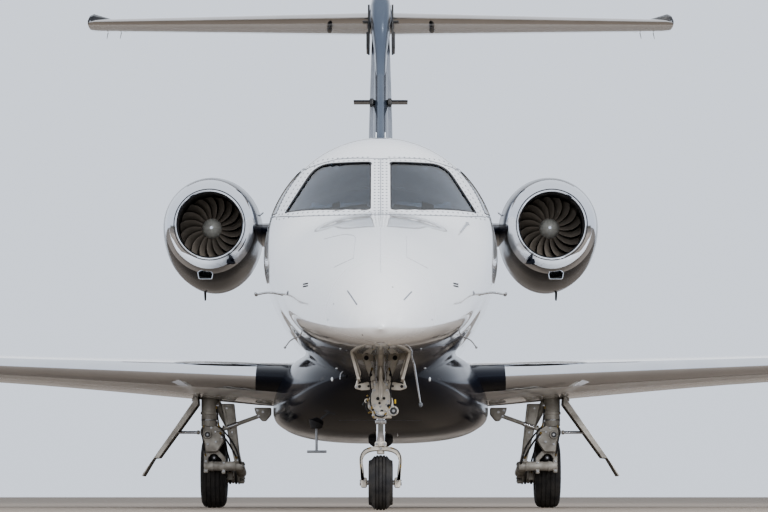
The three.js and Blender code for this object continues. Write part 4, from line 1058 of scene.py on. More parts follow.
def addLowerProbe(mesh, side):
    start, end = noseTrim["lowerProbe"]
    root = nosePoint(side * start[0], start[1])
    knob = Vector((side * end[0] * mm, root.y - 0.05, end[1] * mm))
    elbow = root.lerp(knob, 0.5) + Vector((side * 0.012, 0, 0.01))
    addTube(mesh, smoothPath([root, elbow, knob]), 5, 8, 3)
    reach = Vector((0, 0.03, 0))
    addTurned(mesh, knob - reach, knob + reach, [(0, 5), (12, 9), (48, 9), (60, 5)], 12, 3)


def makeNoseTrim():
    mesh = bmesh.new()
    for seam in noseTrim["seams"]:
        addSeam(mesh, nosePoint, seam, 4, 1.6)
    for mark in noseTrim["marks"]:
        addSeam(mesh, nosePoint, mark, 9, 1.2, 1)
    addStuds(mesh, nosePoint, noseTrim["dots"], 6, 0.8, 2, sides=12)
    for side in (1, -1):
        addVent(mesh, side)
        addPitot(mesh, side)
        addLowerProbe(mesh, side)
    low, high = (nosePoint(*spot) for spot in noseTrim["iceProbe"][::-1])
    path = [high, high + Vector((0, -0.03, 0.002)), low + Vector((0, -0.05, 0))]
    addTube(mesh, path, 8, 10, 3, radii=[10, 9, 5])
    addStuds(mesh, nosePoint, [noseTrim["iceProbe"][0]], 22, 2, 3, sides=16)
    makePiece("nose_trim", mesh, [seamLine, seamGrey, rubberBlack, brushedMetal], "airframe", sharp=50)


makeWindscreenTrim()
makeNoseTrim()
print("fuselage trim ready")


# Belly fairing: place, half width, top, bottom, widest height

bellyFairing = {
    "rows": [
        (4700, 120, 1120, 1000, 1060), (5000, 360, 1180, 880, 1020), (5400, 560, 1260, 730, 960),
        (5900, 700, 1320, 625, 900), (6400, 800, 1350, 575, 850), (6900, 870, 1360, 560, 820),
        (7600, 905, 1360, 556, 810), (9200, 905, 1355, 560, 812), (9900, 800, 1340, 628, 850),
        (10600, 560, 1320, 790, 980), (11200, 280, 1300, 1120, 1210)],
    "squareness": 2.6, "sides": 96, "seen": (4705, 7600),
    "well": {"x": 760, "place": 8350, "radius": 345, "roof": 960}, "legSlot": (7740, 8120),
}


def ovalPoint(place, halfWidth, top, bottom, widest, squareness, angle):
    power = 2 / squareness
    c, s = math.cos(angle), math.sin(angle)
    reach = top - widest if s > 0 else widest - bottom
    return at(halfWidth * math.copysign(abs(c) ** power, c), place,
              widest + reach * math.copysign(abs(s) ** power, s))


def ovalRing(place, halfWidth, top, bottom, widest, squareness, sides):
    shape = (halfWidth, top, bottom, widest, squareness)
    return [ovalPoint(place, *shape, angle) for angle in angles(sides)]


def mainGearTools(side, material):
    well = bellyFairing["well"]
    outline = [(side * well["x"] + well["radius"] * math.cos(a),
                well["place"] + well["radius"] * math.sin(a))
               for a in angles(56)]
    edges = sorted((side * well["x"], side * 1200))
    return [prism(outline, 400, well["roof"], "z", material),
            boxTool(*edges, *bellyFairing["legSlot"], 400, well["roof"], material)]


def makeBellyFairing():
    rows = bellyFairing["rows"]
    mesh = bmesh.new()
    rings = []
    for place in steps(rows[0][0], rows[-1][0], 65):
        values = [smoothColumn(rows, c, place) for c in (1, 2, 3, 4)]
        rings.append(ovalRing(place, *values, bellyFairing["squareness"], bellyFairing["sides"]))
    addRings(mesh, rings)
    fairing = makePiece("belly_fairing_skin", mesh, [navyPaint, gearEnamel])
    carve(fairing, mainGearTools(1, 1) + mainGearTools(-1, 1))
    finishPiece(fairing, "airframe", ["belly_fairing"])
    print("belly fairing ready")


bellyFittings = {
    "dome": {"place": 6500, "radius": 100, "top": 600, "bottom": 490},
    "lamps": [(-379, 1010), (383, 1010)], "crease": [(-330, 700), (330, 700)],
    "bracket": [(-315, 1005), (-305, 1090), (-235, 1085), (-230, 995)], "bracketPlace": 4880,
    "rod": [(243, 1070), (290, 780)], "rodPlace": 3000, "smallMast": {"x": 137, "place": 6200, "low": 600},
    "mast": {"x": -514, "place": 5900, "low": 455, "radius": 10.5,
             "cup": [(0, 36), (4, 44), (84, 68), (220, 68)], "cupLow": 640},
}


def fairingPoint(x, height):
    return frontPoint(bellyFairing["rows"], bellyFairing["squareness"], bellyFairing["seen"], x, height)


def addDome(mesh):
    dome = bellyFittings["dome"]
    top = at(0, dome["place"], dome["top"])
    depth, radius = dome["top"] - dome["bottom"], dome["radius"]
    curve = [(depth * (0.45 + 0.55 * math.sin(a)), radius * math.cos(a)) for a in steps(0, 1.5, 0.2)]
    addTurned(mesh, top, top - Vector((0, 0, 1)), [(0, radius), *curve], 40)


def addHangingRod(mesh):
    (x0, z0), (x1, z1) = bellyFittings["rod"]
    place = bellyFittings["rodPlace"]
    top, end = at(x0, place, z0), at(x1, place, z1)
    addRod(mesh, top, end, 8, 6, 12, 2)
    addTurned(mesh, end, end + (end - top), [(-2, 7), (4, 13), (16, 15), (28, 10), (34, 2)], 16, 3)


def addSmallMast(mesh):
    mast = bellyFittings["smallMast"]
    foot = at(mast["x"], mast["place"], mast["low"] + 40)
    addBlock(mesh, foot + Vector((-0.004, -0.04, -0.06)), foot + Vector((0.004, 0.04, 0.0)), 2, 4)
    addBlock(mesh, foot + Vector((-0.028, -0.045, 0.0)), foot + Vector((0.028, 0.045, 0.012)), 4, 4)


def makeBellyMast():
    mast = bellyFittings["mast"]
    x, place, low, cupLow = mast["x"], mast["place"], mast["low"], mast["cupLow"]
    mesh = bmesh.new()
    addTurned(mesh, at(x, place, cupLow), at(x, place, cupLow + 220), mast["cup"], 40)
    addRod(mesh, at(x, place, low), at(x, place, cupLow + 10), mast["radius"], material=1)
    addRod(mesh, at(x - 77, place, low), at(x + 81, place, low), mast["radius"], edge=3, material=1)
    makePiece("belly_mast_shape", mesh, [rubberBlack, mastMetal], "airframe",
              ["belly_mast"], 40)


def makeBellyFittings():
    mesh = bmesh.new()
    addDome(mesh)
    addStuds(mesh, fairingPoint, bellyFittings["lamps"], 15, 5, 1, sides=24)
    addStuds(mesh, fairingPoint, bellyFittings["lamps"], 20, 2, 2, sides=24)
    addSeam(mesh, fairingPoint, bellyFittings["crease"], 4, 0.8, 3)
    bracket = [at(x, bellyFittings["bracketPlace"], z) for x, z in bellyFittings["bracket"]]
    addTube(mesh, bracket, 6, 10, 2)
    addHangingRod(mesh)
    addSmallMast(mesh)
    materials = [rubberBlack, lampGlass, brushedMetal, seamGrey, whitePaint]
    makePiece("belly_fittings", mesh, materials, "airframe", sharp=45)
    makeBellyMast()
    print("belly fittings ready")


makeBellyFairing()
makeBellyFittings()


# Wing and tail surfaces: span place, leading edge, chord, height, thickness ratio, incidence, cant

wing = {
    "rows": [
        (500, 6536, 3230, 1058, 0.115, 2.4, 3), (1030, 6800, 3010, 1088, 0.112, 2.2, 3),
        (2900, 7732, 2150, 1190, 0.11, 1.2, 3), (7250, 9901, 1010, 1424, 0.105, 0, 3),
        (7560, 10070, 930, 1450, 0.1, 0, 20), (7720, 10240, 800, 1530, 0.095, 0, 52),
        (7800, 10400, 690, 1660, 0.09, 0, 74), (7950, 10900, 370, 2330, 0.085, 0, 78)],
    "flap": (1260, 4560), "aileron": (4640, 7040), "hinge": 0.74, "band": 0.075, "metalFrom": 1030,
    "legSlot": {"x": (980, 1560), "z": (700, 1050)},
}
tailplane = {
    "rows": [(-20, 13554, 1645, 4863, 0.105, 0, 1), (2900, 14390, 920, 4913, 0.09, 0, 1),
             (2985, 14490, 800, 4915, 0.07, 0, 1)],
    "elevator": (150, 2640), "hinge": 0.68, "band": 0.08,
}
fin = {
    "rows": [(2500, 11000, 3500, 0.074), (2850, 11450, 3150, 0.079), (4785, 13560, 1560, 0.108)],
    "rudder": (3040, 4560), "hinge": 0.7, "band": 0.06,
}
surfaceGap = {"nose": 12, "end": 12, "pin": 12, "pinPlay": 0.3, "skin": 1.5, "detail": 26}


def halfThickness(along, ratio):
    shape = 0.2969 * math.sqrt(along)
    for power, share in enumerate((-0.126, -0.3516, 0.2843, -0.1036), start=1):
        shape += share * along ** power
    return 5 * ratio * shape + 0.004 * along / 2


def aerofoilAlongs():
    detail = surfaceGap["detail"]
    return [(1 - math.cos(math.pi / 2 * i / detail)) ** 1.3 for i in range(detail, 0, -1)]


def aerofoilOutline(ratio):
    upper = [(a, halfThickness(a, ratio)) for a in aerofoilAlongs()]
    return upper + [(0, 0)] + [(a, -t) for a, t in upper[::-1]]


def wingRing(row):
    x, leading, chord, height, ratio, incidence, cant = row
    tilt, lean = math.radians(incidence), math.radians(cant)
    ring = []
    for along, across in aerofoilOutline(ratio):
        back = along * chord * math.cos(tilt)
        up = across * chord - along * chord * math.sin(tilt)
        ring.append(at(x - up * math.sin(lean), leading + back, height + up * math.cos(lean)))
    return ring


def wingRows(table):
    rows = []
    for place in steps(table[0][0], table[1][0], 250)[:-1] + steps(table[1][0], table[2][0], 310)[:-1]:
        rows.append((place, *[straightColumn(table, c, place) for c in range(1, 7)]))
    rest = table[2:]
    for start, end in zip(rest, rest[1:]):
        curved = start[0] >= 7250
        column = smoothColumn if curved else straightColumn
        for place in steps(start[0], end[0], 30 if curved else 435)[:-1]:
            rows.append((place, *[column(table, c, place) for c in range(1, 7)]))
    return rows + [table[-1]]


def liftingBody(name, rings, band, materials, metalFrom=None):
    mesh = bmesh.new()
    addRings(mesh, rings)
    mesh.verts.index_update()
    detail = surfaceGap["detail"]
    count = 2 * detail + 1
    columns = {i for i, a in enumerate(aerofoilAlongs()) if a <= band}
    columns |= {detail} | {count - 1 - i for i in columns}
    for face in mesh.faces:
        if len(face.verts) != 4:
            continue
        inside = all(vert.index % count in columns for vert in face.verts)
        outboard = metalFrom is None or min(abs(v.co.x) for v in face.verts) >= (metalFrom - 40) * mm
        if inside:
            face.material_index = 1 if outboard else 2
    return makePiece(name, mesh, materials)


def rodTool(start, end, radius, endRadius, sides=40):
    mesh = bmesh.new()
    addTurned(mesh, start, end, [(0, radius), ((end - start).length / mm, endRadius)], sides)
    return makePiece("tool", mesh, [])


def hingePoint(table, ratio, x):
    leading, chord, height, thickness, incidence = (straightColumn(table, c, x) for c in (1, 2, 3, 4, 5))
    drop = math.sin(math.radians(incidence)) * ratio * chord
    return at(x, leading + ratio * chord, height - drop), halfThickness(ratio, thickness) * chord


def hingeEnds(surface, label):
    (a, halfA), (b, halfB) = (hingePoint(surface["rows"], surface["hinge"], x) for x in surface[label])
    return a, b, halfA, halfB


def regionTool(a, b, gap):
    along = (b - a).normalized()
    aft = Vector((-along.y, along.x, 0)) * 1.6
    start, end = a - along * gap * mm, b + along * gap * mm
    middle = (a.z + b.z) / 2
    mesh = bmesh.new()
    corners = (start, end, end + aft, start + aft)
    addRings(mesh, [[Vector((p.x, p.y, z)) for p in corners] for z in (middle - 0.8, middle + 0.8)])
    return makePiece("tool", mesh, [])


def splitSurface(whole, name, a, b, halfA, halfB):
    gap = surfaceGap
    along = (b - a).normalized() * mm
    surface = copyOf(whole, name)
    carve(surface, [regionTool(a, b, 0)], "INTERSECT")
    carve(surface, [rodTool(a, b, halfA - gap["skin"], halfB - gap["skin"])], "UNION")
    pin = along * (gap["end"] - gap["pinPlay"])
    carve(surface, [rodTool(a - pin, b + pin, gap["pin"], gap["pin"], 16)], "UNION")
    end = along * gap["end"]
    openings = [regionTool(a, b, gap["end"]),
                rodTool(a - end, b + end, halfA + gap["nose"], halfB + gap["nose"])]
    return surface, openings


def makeWings():
    materials = [whitePaint, polishedMetal, navyPaint]
    rings = [wingRing(row) for row in wingRows(wing["rows"])]
    whole = liftingBody("wing", rings, wing["band"], materials, wing["metalFrom"])
    flap, openings = splitSurface(whole, "flap", *hingeEnds(wing, "flap"))
    aileron, cuts = splitSurface(whole, "aileron", *hingeEnds(wing, "aileron"))
    legSlot = boxTool(*wing["legSlot"]["x"], *bellyFairing["legSlot"], *wing["legSlot"]["z"], 0)
    carve(whole, openings + cuts + [legSlot] + mainGearTools(1, 0))
    finishBothSides(whole, "wing_skin_{}", "airframe", "wing_{}")
    finishBothSides(flap, "flap_skin_{}", "flap_{}", "flap_{}")
    finishBothSides(aileron, "aileron_skin_{}", "aileron_{}", "aileron_{}")
    print("wings ready")


bullet = {
    "rows": [(13150, 22, 4893, 4828), (13190, 60, 4938, 4768),
             (13270, 90, 4985, 4706), (13420, 106, 5032, 4668),
             (13700, 113, 5074, 4672), (14100, 116, 5108, 4700),
             (14500, 116, 5123, 4715), (15000, 92, 5095, 4749),
             (15400, 52, 5015, 4803), (15640, 10, 4925, 4877)],
    "sides": 64,
}


tailFittings = {
    "cap": [(4200, 12935, 56), (4330, 13034, 60), (4450, 13090, 66), (4570, 13120, 80), (4700, 13130, 94),
            (4830, 13130, 100), (4950, 13160, 100), (5040, 13270, 88), (5085, 13400, 60)],
    "capLength": 620,
    "horn": [(2630, 4915), (2925, 5010), (2968, 4990), (2984, 4940), (2984, 4905), (2630, 4905)],
    "hornShares": [(14480, 0.7), (14560, 1), (14700, 0.77), (14950, 0.4)], "hornFoot": 4915,
    "blade": {"halfSpan": 264, "from": 12680, "to": 12980, "low": 3930, "high": 3946},
    "bumps": (515, 13760, 4776), "brackets": (150, 13520, 4826), "lamps": (44, 12190, 3525),
    "wicks": [(2690, 15260, 4898), (2830, 15290, 4900)],
}


def squaredRing(centre, halfWidth, halfLength, height, detail=64, power=0.6):
    ring = []
    for angle in angles(detail):
        c, s = math.cos(angle), math.sin(angle)
        ring.append(at(halfWidth * math.copysign(abs(c) ** power, c),
                       centre + halfLength * math.copysign(abs(s) ** power, s), height))
    return ring


def addHorn(mesh, side):
    rings = []
    foot = tailFittings["hornFoot"]
    for place, share in tailFittings["hornShares"]:
        corners = [(u, foot + (v - foot) * share if v > foot else v) for u, v in tailFittings["horn"]]
        rings.append([at(side * u, place, v) for u, v in roundedOutline(corners, 4, 3)])
    addRings(mesh, rings, 1)
    addBlock(mesh, at(side * 2800 - 165, 14472, 4916), at(side * 2800 + 165, 14486, 4932), 4, 2)


def addTailBrackets(mesh, side):
    cheek = ((13490, 4978), (13490, 4474), (13900, 4560), (14300, 4700), (14300, 4978))
    addRings(mesh, [[at(side * 118 + reach, place, z) for place, z in cheek] for reach in (-9, 9)], 1)
    addBlock(mesh, at(side * 128 - 16, 13620, 4560), at(side * 128 + 16, 14200, 4720), 6, 1)
    x, place, height = tailFittings["bumps"]
    start = at(side * x, place, height)
    profile = [(0, 6), (60, 22), (180, 28), (300, 20), (380, 4)]
    addTurned(mesh, start, start + Vector((0, 1, 0)), profile, 16, 1)
    x, place, height = tailFittings["brackets"]
    addBlock(mesh, at(side * x - 30, place - 30, height - 26),
             at(side * x + 30, place + 90, height - 6), 6, 1)


def addLampsAndWicks(mesh, side):
    x, place, height = tailFittings["lamps"]
    profile = [(0, 3), (8, 6), (40, 6), (56, 5), (62, 2)]
    addTurned(mesh, at(side * x, place, height), at(side * x, place, height + 60), profile, 16, 3)
    for x, place, height in tailFittings["wicks"]:
        start = at(side * x, place, height)
        addRod(mesh, start, start + Vector((side * 0.02, 0.11, -0.05)), 4, 2, 8, 1)
    blade = tailFittings["blade"]
    near, far = sorted((side * 90, side * blade["halfSpan"]))
    addBlock(mesh, at(near, blade["from"], blade["low"]), at(far, blade["to"], blade["high"]), 5, 4)
    addBlock(mesh, at(side * 88 - 20, blade["from"] - 8, 3900),
             at(side * 88 + 20, blade["to"] - 60, 3962), 8, 1)


def makeTailFittings():
    mesh = bmesh.new()
    reach = tailFittings["capLength"] / 2
    addRings(mesh, [squaredRing(front + reach, halfWidth, reach, height)
                    for height, front, halfWidth in tailFittings["cap"]])
    for side in (1, -1):
        addHorn(mesh, side)
        addTailBrackets(mesh, side)
        addLampsAndWicks(mesh, side)
    materials = [edgePaint, darkSteel, polishedMetal, lampGlass, cowlPaint]
    makePiece("tail_fittings", mesh, materials, "airframe", sharp=40)


def makeTailplane():
    table = tailplane["rows"]
    rows = []
    for start, end in zip(table, table[1:]):
        for place in steps(start[0], end[0], 300)[:-1]:
            rows.append((place, *[straightColumn(table, c, place) for c in range(1, 7)]))
    rows.append(table[-1])
    rings = [wingRing(row) for row in rows]
    half = liftingBody("tailplane_half", rings, tailplane["band"], [whitePaint, tailMetal])
    elevator, openings = splitSurface(half, "elevator", *hingeEnds(tailplane, "elevator"))
    carve(half, openings)
    carve(half, [mirrorCopy(half, "other")], "UNION")
    half.name = "tailplane_skin"
    finishPiece(half, "airframe", ["tailplane"], 40)
    finishBothSides(elevator, "elevator_skin_{}", "elevator_{}", "elevator_{}")


def makeBullet():
    table = bullet["rows"]
    mesh = bmesh.new()
    rings = []
    for place in steps(table[0][0], table[-1][0], 60):
        halfWidth, top, bottom = (smoothColumn(table, c, place) for c in (1, 2, 3))
        rings.append(ovalRing(place, halfWidth, top, bottom, (top + bottom) / 2, 2, bullet["sides"]))
    addRings(mesh, rings)
    makePiece("tail_bullet_skin", mesh, [finPaint], "airframe", ["tail_bullet"])


def finSection(height):
    return [straightColumn(fin["rows"], c, height) for c in (1, 2, 3)]


def finRing(height):
    leading, chord, ratio = finSection(height)
    return [at(across * chord, leading + along * chord, height) for along, across in aerofoilOutline(ratio)]


def rudderEnd(height):
    leading, chord, ratio = finSection(height)
    return at(0, leading + fin["hinge"] * chord, height), halfThickness(fin["hinge"], ratio) * chord


def rudderTool(low, high, gap, reach=2.6):
    along = (high - low).normalized()
    aft = Vector((0, along.z, -along.y)) * reach
    start, end = low - along * gap * mm, high + along * gap * mm
    mesh = bmesh.new()
    addRings(mesh,
             [[Vector((x, p.y, p.z)) for p in (start, start + aft, end + aft, end)] for x in (-0.4, 0.4)])
    return makePiece("tool", mesh, [])


def makeFin():
    foot, middle, top = (row[0] for row in fin["rows"])
    heights = steps(foot, middle, 120)[:-1] + steps(middle, top, 190)
    whole = liftingBody("fin", [finRing(height) for height in heights], fin["band"], [finPaint, edgePaint])
    (low, halfLow), (high, halfHigh) = (rudderEnd(height) for height in fin["rudder"])
    rudder = copyOf(whole, "rudder_skin")
    carve(rudder, [rudderTool(low, high, 0)], "INTERSECT")
    carve(rudder,
          [rodTool(low, high, halfLow - surfaceGap["skin"], halfHigh - surfaceGap["skin"])], "UNION")
    end = (high - low).normalized() * surfaceGap["end"] * mm
    nose = surfaceGap["nose"]
    carve(whole, [rudderTool(low, high, surfaceGap["end"]),
                  rodTool(low - end, high + end, halfLow + nose, halfHigh + nose)])
    whole.name = "fin_skin"
    finishPiece(whole, "airframe", ["fin"], 40)
    finishPiece(rudder, "rudder", ["rudder"], 40)


makeWings()
makeTailplane()
makeBullet()
makeTailFittings()
makeFin()
print("tail ready")


# Engines: place, half width, rise above and drop below the axis

engine = {
    "x": 1520, "z": 2506, "sides": 96, "front": 9300, "lipEnd": 9450, "metalTo": 9318, "end": 12150,
    "fanPlace": 9880, "blades": 18,
    "outside": [(9300, 304, 304, 304), (9307, 326, 326, 326), (9320, 352, 352, 353), (9370, 383, 385, 393),
                (9480, 408, 416, 440), (9700, 430, 446, 496),
                (10150, 447, 478, 552), (10700, 440, 474, 546),
                (11250, 402, 434, 474), (11750, 342, 366, 382), (12150, 292, 300, 304)],
    "duct": [(9300, 304), (9306, 296), (9318, 289), (9350, 284), (9480, 284), (9760, 292), (9960, 292),
             (10400, 322), (11300, 318), (12150, 274)],
    "lipPlaces": {9300, 9302, 9306, 9311, 9316, 9325, 9335, 9350, 9370}, "seamRadius": 316,
    "core": [(9965, 0), (9965, 150), (10250, 205), (11200, 212), (11900, 180), (12260, 150), (12260, 128),
             (12180, 112), (12330, 60), (12440, 0)],
    "vanes": 36, "vaneRadii": (180, 250, 318),
    "vane": [(10300, -32), (10330, -20), (10400, 4), (10480, 32), (10480, 28), (10400, -4), (10330, -28)],
    "pylon": [(560, 9820, 2460, 2500, 205), (1240, 10060, 2000, 2500, 190)],
}


def nacelleRing(place, lift=0.0):
    halfWidth, rise, drop = (smoothColumn(engine["outside"], c, place) + lift for c in (1, 2, 3))
    ring = []
    for angle in angles(engine["sides"]):
        reach = rise if math.sin(angle) > 0 else drop
        ring.append(at(halfWidth * math.cos(angle), place, reach * math.sin(angle)))
    return ring


def ductRing(place):
    radius = smoothColumn(engine["duct"], 1, place)
    return [at(radius * math.cos(angle), place,
               radius * math.sin(angle)) for angle in angles(engine["sides"])]


def addShell(mesh, start, end, size):
    places = steps(start, end, size)
    withLip = start == engine["front"]
    if withLip:
        places = sorted(set(places) | engine["lipPlaces"])
    outer = [nacelleRing(place) for place in places]
    inner = [ductRing(place) for place in places[1 if withLip else 0:]]
    faces = addRings(mesh, outer[::-1] + inner, loop=True)
    for i, face in enumerate(faces):
        if len(outer) - 1 <= i // engine["sides"] < len(outer) + len(inner) - 1:
            face.material_index = 1


def placeEngine(piece, side, along=0):
    piece.data.transform(Matrix.Translation((engine["x"] * mm * side, along, engine["z"] * mm)))
    return piece


engineFittings = {
    "scoop": [(-35, -400), (119, -400), (104, -478), (-20, -478)],
    "scoopMiddle": (42, -439), "scoopPlace": 9458,
    "scoopRows": [(300, 0.9), (140, 1.0), (6, 1.0), (0, 0.97), (0, 0.86), (80, 0.8)],
    "scoopPaint": [0, 2, 2, 2, 1],
    "drain": [(89, 10500, -505), (89, 10560, -611)],
    "handle": [(-425, 9855, 122), (-455, 9870, 146), (-455, 9930, 146), (-425, 9945, 122)],
}


def addScoop(mesh, side):
    x, z = engineFittings["scoopMiddle"]
    outline = roundedOutline([(side * u, v) for u, v in engineFittings["scoop"]], 14, 4)
    rings = []
    for aft, scale in engineFittings["scoopRows"]:
        place = engineFittings["scoopPlace"] + aft
        rings.append([at(side * x + (u - side * x) * scale, place, z + (v - z) * scale)
                      for u, v in outline])
    paint = engineFittings["scoopPaint"]
    for i, face in enumerate(addRings(mesh, rings)):
        band = i // len(outline)
        face.material_index = paint[band] if band < len(paint) else 1


def addEngineFittings(mesh, side):
    addScoop(mesh, side)
    top, foot = (at(side * x, place, z) for x, place, z in engineFittings["drain"])
    addTube(mesh, [top, top.lerp(foot, 0.85), foot], 17, 16, 3, 0.55, [22, 17, 14])
    addTube(mesh, smoothPath([at(side * u, p, v) for u, p, v in engineFittings["handle"]]), 6, 10, 2)


def makeInletLip(name, side):
    mesh = bmesh.new()
    addShell(mesh, engine["front"], engine["lipEnd"], 15)
    for face in mesh.faces:
        if face.calc_center_median().y < (engine["metalTo"] - length / 2) * mm:
            face.material_index = 0
    seam = engine["seamRadius"]
    profile = [(0, seam - 4), (0, seam + 4), (12, seam + 4), (12, seam - 4)]
    addTurned(mesh, at(0, engine["front"] - 0.4, 0), at(0, engine["front"] + 20, 0), profile, 96, 2, True)
    lip = makePiece(f"inlet_lip_{name}_ring", mesh, [polishedMetal, ductMetal, ductMetal])
    finishPiece(placeEngine(lip, side), "airframe", [f"inlet_lip_{name}"], 50)


def makeCowl(name, side):
    mesh = bmesh.new()
    addShell(mesh, engine["lipEnd"] + 0.6, engine["end"], 50)
    addEngineFittings(mesh, side)
    cowl = makePiece(f"nacelle_{name}_cowl", mesh, [cowlPaint, ductMetal, polishedMetal, rubberBlack])
    finishPiece(placeEngine(cowl, side), "airframe", [f"nacelle_{name}"], 50)


def makeCore(name, side):
    mesh = bmesh.new()
    front = engine["core"][0][0]
    start, aft = at(0, front, 0), Vector((0, 1, 0))
    addTurned(mesh, start, start + aft, [(place - front, radius) for place, radius in engine["core"]], 64)
    for angle in angles(engine["vanes"]):
        out = Vector((math.cos(angle), 0, math.sin(angle)))
        turn = out.cross(aft)
        addRings(mesh, [[(out * radius + aft * (place - length / 2) + turn * across) * mm
                         for place, across in engine["vane"]] for radius in engine["vaneRadii"]])
    core = makePiece(f"engine_core_{name}_case", mesh, [darkSteel])
    finishPiece(placeEngine(core, side), "airframe", [f"engine_core_{name}"])


fan = {
    "hub": 92, "tip": 286, "rootPitch": 20, "tipPitch": 41, "rootChord": 96, "tipChord": 128, "sweep": 30,
    "rows": 18, "thick": 9,
    "section": [(-0.5, 0), (-0.42, 0.55), (-0.2, 0.95), (0.1, 1.0), (0.38, 0.6), (0.5, 0.05), (0.38, 0.1),
                (0.1, 0.2), (-0.2, 0.15), (-0.42, -0.1)],
    "dome": [(0, 1), (2, 9), (8, 20), (20, 34), (40, 52), (65, 68), (95, 81),
             (130, 91), (165, 95), (225, 96), (226, 60)],
    "domeFront": -165, "screws": 8, "screwCircle": 84, "screwsAt": -58,
}


def addBlade(mesh, turn):
    rings = []
    for k in range(fan["rows"] + 1):
        t = k / fan["rows"]
        radius = fan["hub"] - 8 + (fan["tip"] - fan["hub"] + 8) * t
        pitch = math.radians(fan["rootPitch"] + (fan["tipPitch"] - fan["rootPitch"]) * t ** 0.8)
        chord = fan["rootChord"] + (fan["tipChord"] - fan["rootChord"]) * t
        sweep = math.radians(fan["sweep"]) * (t ** 2 - 0.55 * t)
        thick = fan["thick"] * (1 - 0.68 * t)
        ring = []
        for along, across in fan["section"]:
            camber = 0.07 * chord * (1 - 4 * along * along)
            u = along * chord
            v = (across - 0.4) * thick + camber
            around = u * math.sin(pitch) + v * math.cos(pitch)
            deep = u * math.cos(pitch) - v * math.sin(pitch)
            angle = turn + sweep + around / radius
            ring.append(Vector((radius * math.cos(angle), deep, radius * math.sin(angle))) * mm)
        rings.append(ring)
    addRings(mesh, rings)


def makeFan(name, side):
    mesh = bmesh.new()
    for i in range(engine["blades"]):
        addBlade(mesh, 2 * math.pi * (i + 0.3) / engine["blades"])
    aft = Vector((0, 1, 0))
    start = aft * fan["domeFront"] * mm
    addTurned(mesh, start, start + aft, fan["dome"], 64, 1)
    addTurned(mesh, aft * 0.05, aft, [(0, 45), (34, 45)], 32)
    for angle in angles(fan["screws"]):
        out = Vector((math.cos(angle), 0, math.sin(angle)))
        head = (out * fan["screwCircle"] + aft * fan["screwsAt"]) * mm
        addRod(mesh, head, head + out * 0.002 - aft * 0.006, 5.5, sides=6, material=2)
    addRod(mesh, aft * -0.1655, aft * -0.168, 13, material=3, sides=24)
    rotor = makePiece(f"fan_{name}_rotor", mesh, [fanMetal, spinnerMetal, brushedMetal, polishedMetal])
    placeEngine(rotor, side, (engine["fanPlace"] - length / 2) * mm)
    finishPiece(rotor, f"fan_{name}", [f"fan_{name}"], 40)


def makePylons():
    inner, outer = engine["pylon"]
    rings = []
    for x in steps(500, 1240, 120):
        share = (x - inner[0]) / (outer[0] - inner[0])
        leading, chord, height, thick = (inner[c] + (outer[c] - inner[c]) * share for c in (1, 2, 3, 4))
        rings.append(wingRing((x, leading, chord, height, thick / chord, 0, 0)))
    mesh = bmesh.new()
    addRings(mesh, rings)
    pylon = makePiece("pylon", mesh, [navyPaint])
    mesh = bmesh.new()
    addRings(mesh, [nacelleRing(place, 0.3) for place in steps(9400, engine["end"], 60)])
    tool = placeEngine(makePiece("tool", mesh, []), 1)
    carve(pylon, [barrelTool(9400, 12900, -0.3, 0, 100), tool])
    finishBothSides(pylon, "pylon_{}_skin", "airframe", "pylon_{}")


for name, side in bothSides:
    makeInletLip(name, side)
    makeCowl(name, side)
    makeCore(name, side)
for name, side in bothSides:
    makeFan(name, side)
makePylons()
print("engines ready")


# Landing gear. Outlines are (x, height) corners seen from the front on the port side. Other points are
# (x, distance aft of the leg, height)

gear = {"nosePlace": 2200, "trail": 45, "noseAxle": 195, "mainPlace": 7900,
        "wheelPlace": 8350, "track": 1432, "mainAxle": 300}
gearMaterials = [gearEnamel, darkSteel, chromePlate, rubberBlack, brushedMetal, brassFitting, yellowKnob]
# The main gear takes the darker enamel, which is painted shade from the wing
mainGearMaterials = [shadedMainEnamel, *gearMaterials[1:]]
enamel, steel, chrome, rubber, metal, brass, yellow = range(len(gearMaterials))


def addPlate(mesh, corners, front, back, edge=4, radius=8, side=1):
    outline = [Vector((side * u, v)) for u, v in roundedOutline(corners, radius, 3)]
    area = sum(a.x * b.y - b.x * a.y for a, b in zip(outline, outline[1:] + outline[:1]))
    turn = math.copysign(1, area)
    inner = []
    for i, here in enumerate(outline):
        before, after = here - outline[i - 1], outline[(i + 1) % len(outline)] - here
        inward = Vector((-before.y, before.x)).normalized() + Vector((-after.y, after.x)).normalized()
        inner.append(here + inward.normalized() * turn * edge)
    rows = [(inner, front), (outline, front + edge), (outline, back - edge), (inner, back)]
    addRings(mesh, [[at(u, place, v) for u, v in ring] for ring, place in rows])


def addBolts(mesh, spots, place, radius=7, reach=9):
    for x, z in spots:
        head = at(x, place, z)
        washer = radius * 1.5
        addRod(mesh, head + Vector((0, 0.004, 0)), head - Vector((0, 0.002, 0)),
               washer, sides=14, material=metal)
        addRod(mesh, head, head - Vector((0, reach * mm, 0)), radius, sides=6, material=metal)


def addPlug(mesh, x, z, back, front, radius, rimShare, sides):
    addRod(mesh, at(x, back, z), at(x, front, z), radius * rimShare, sides=sides)
    addRod(mesh, at(x, front, z), at(x, front - 0.6, z), radius, sides=sides, material=rubber)


def addHose(mesh, points, radius):
    path = smoothPath(points, 7)
    addTube(mesh, path, radius, 10, rubber)
    for end, inner in ((path[0], path[1]), (path[-1], path[-2])):
        along = (inner - end).normalized() * 0.022
        addRod(mesh, end, end + along, radius * 1.25, sides=8, material=brass)


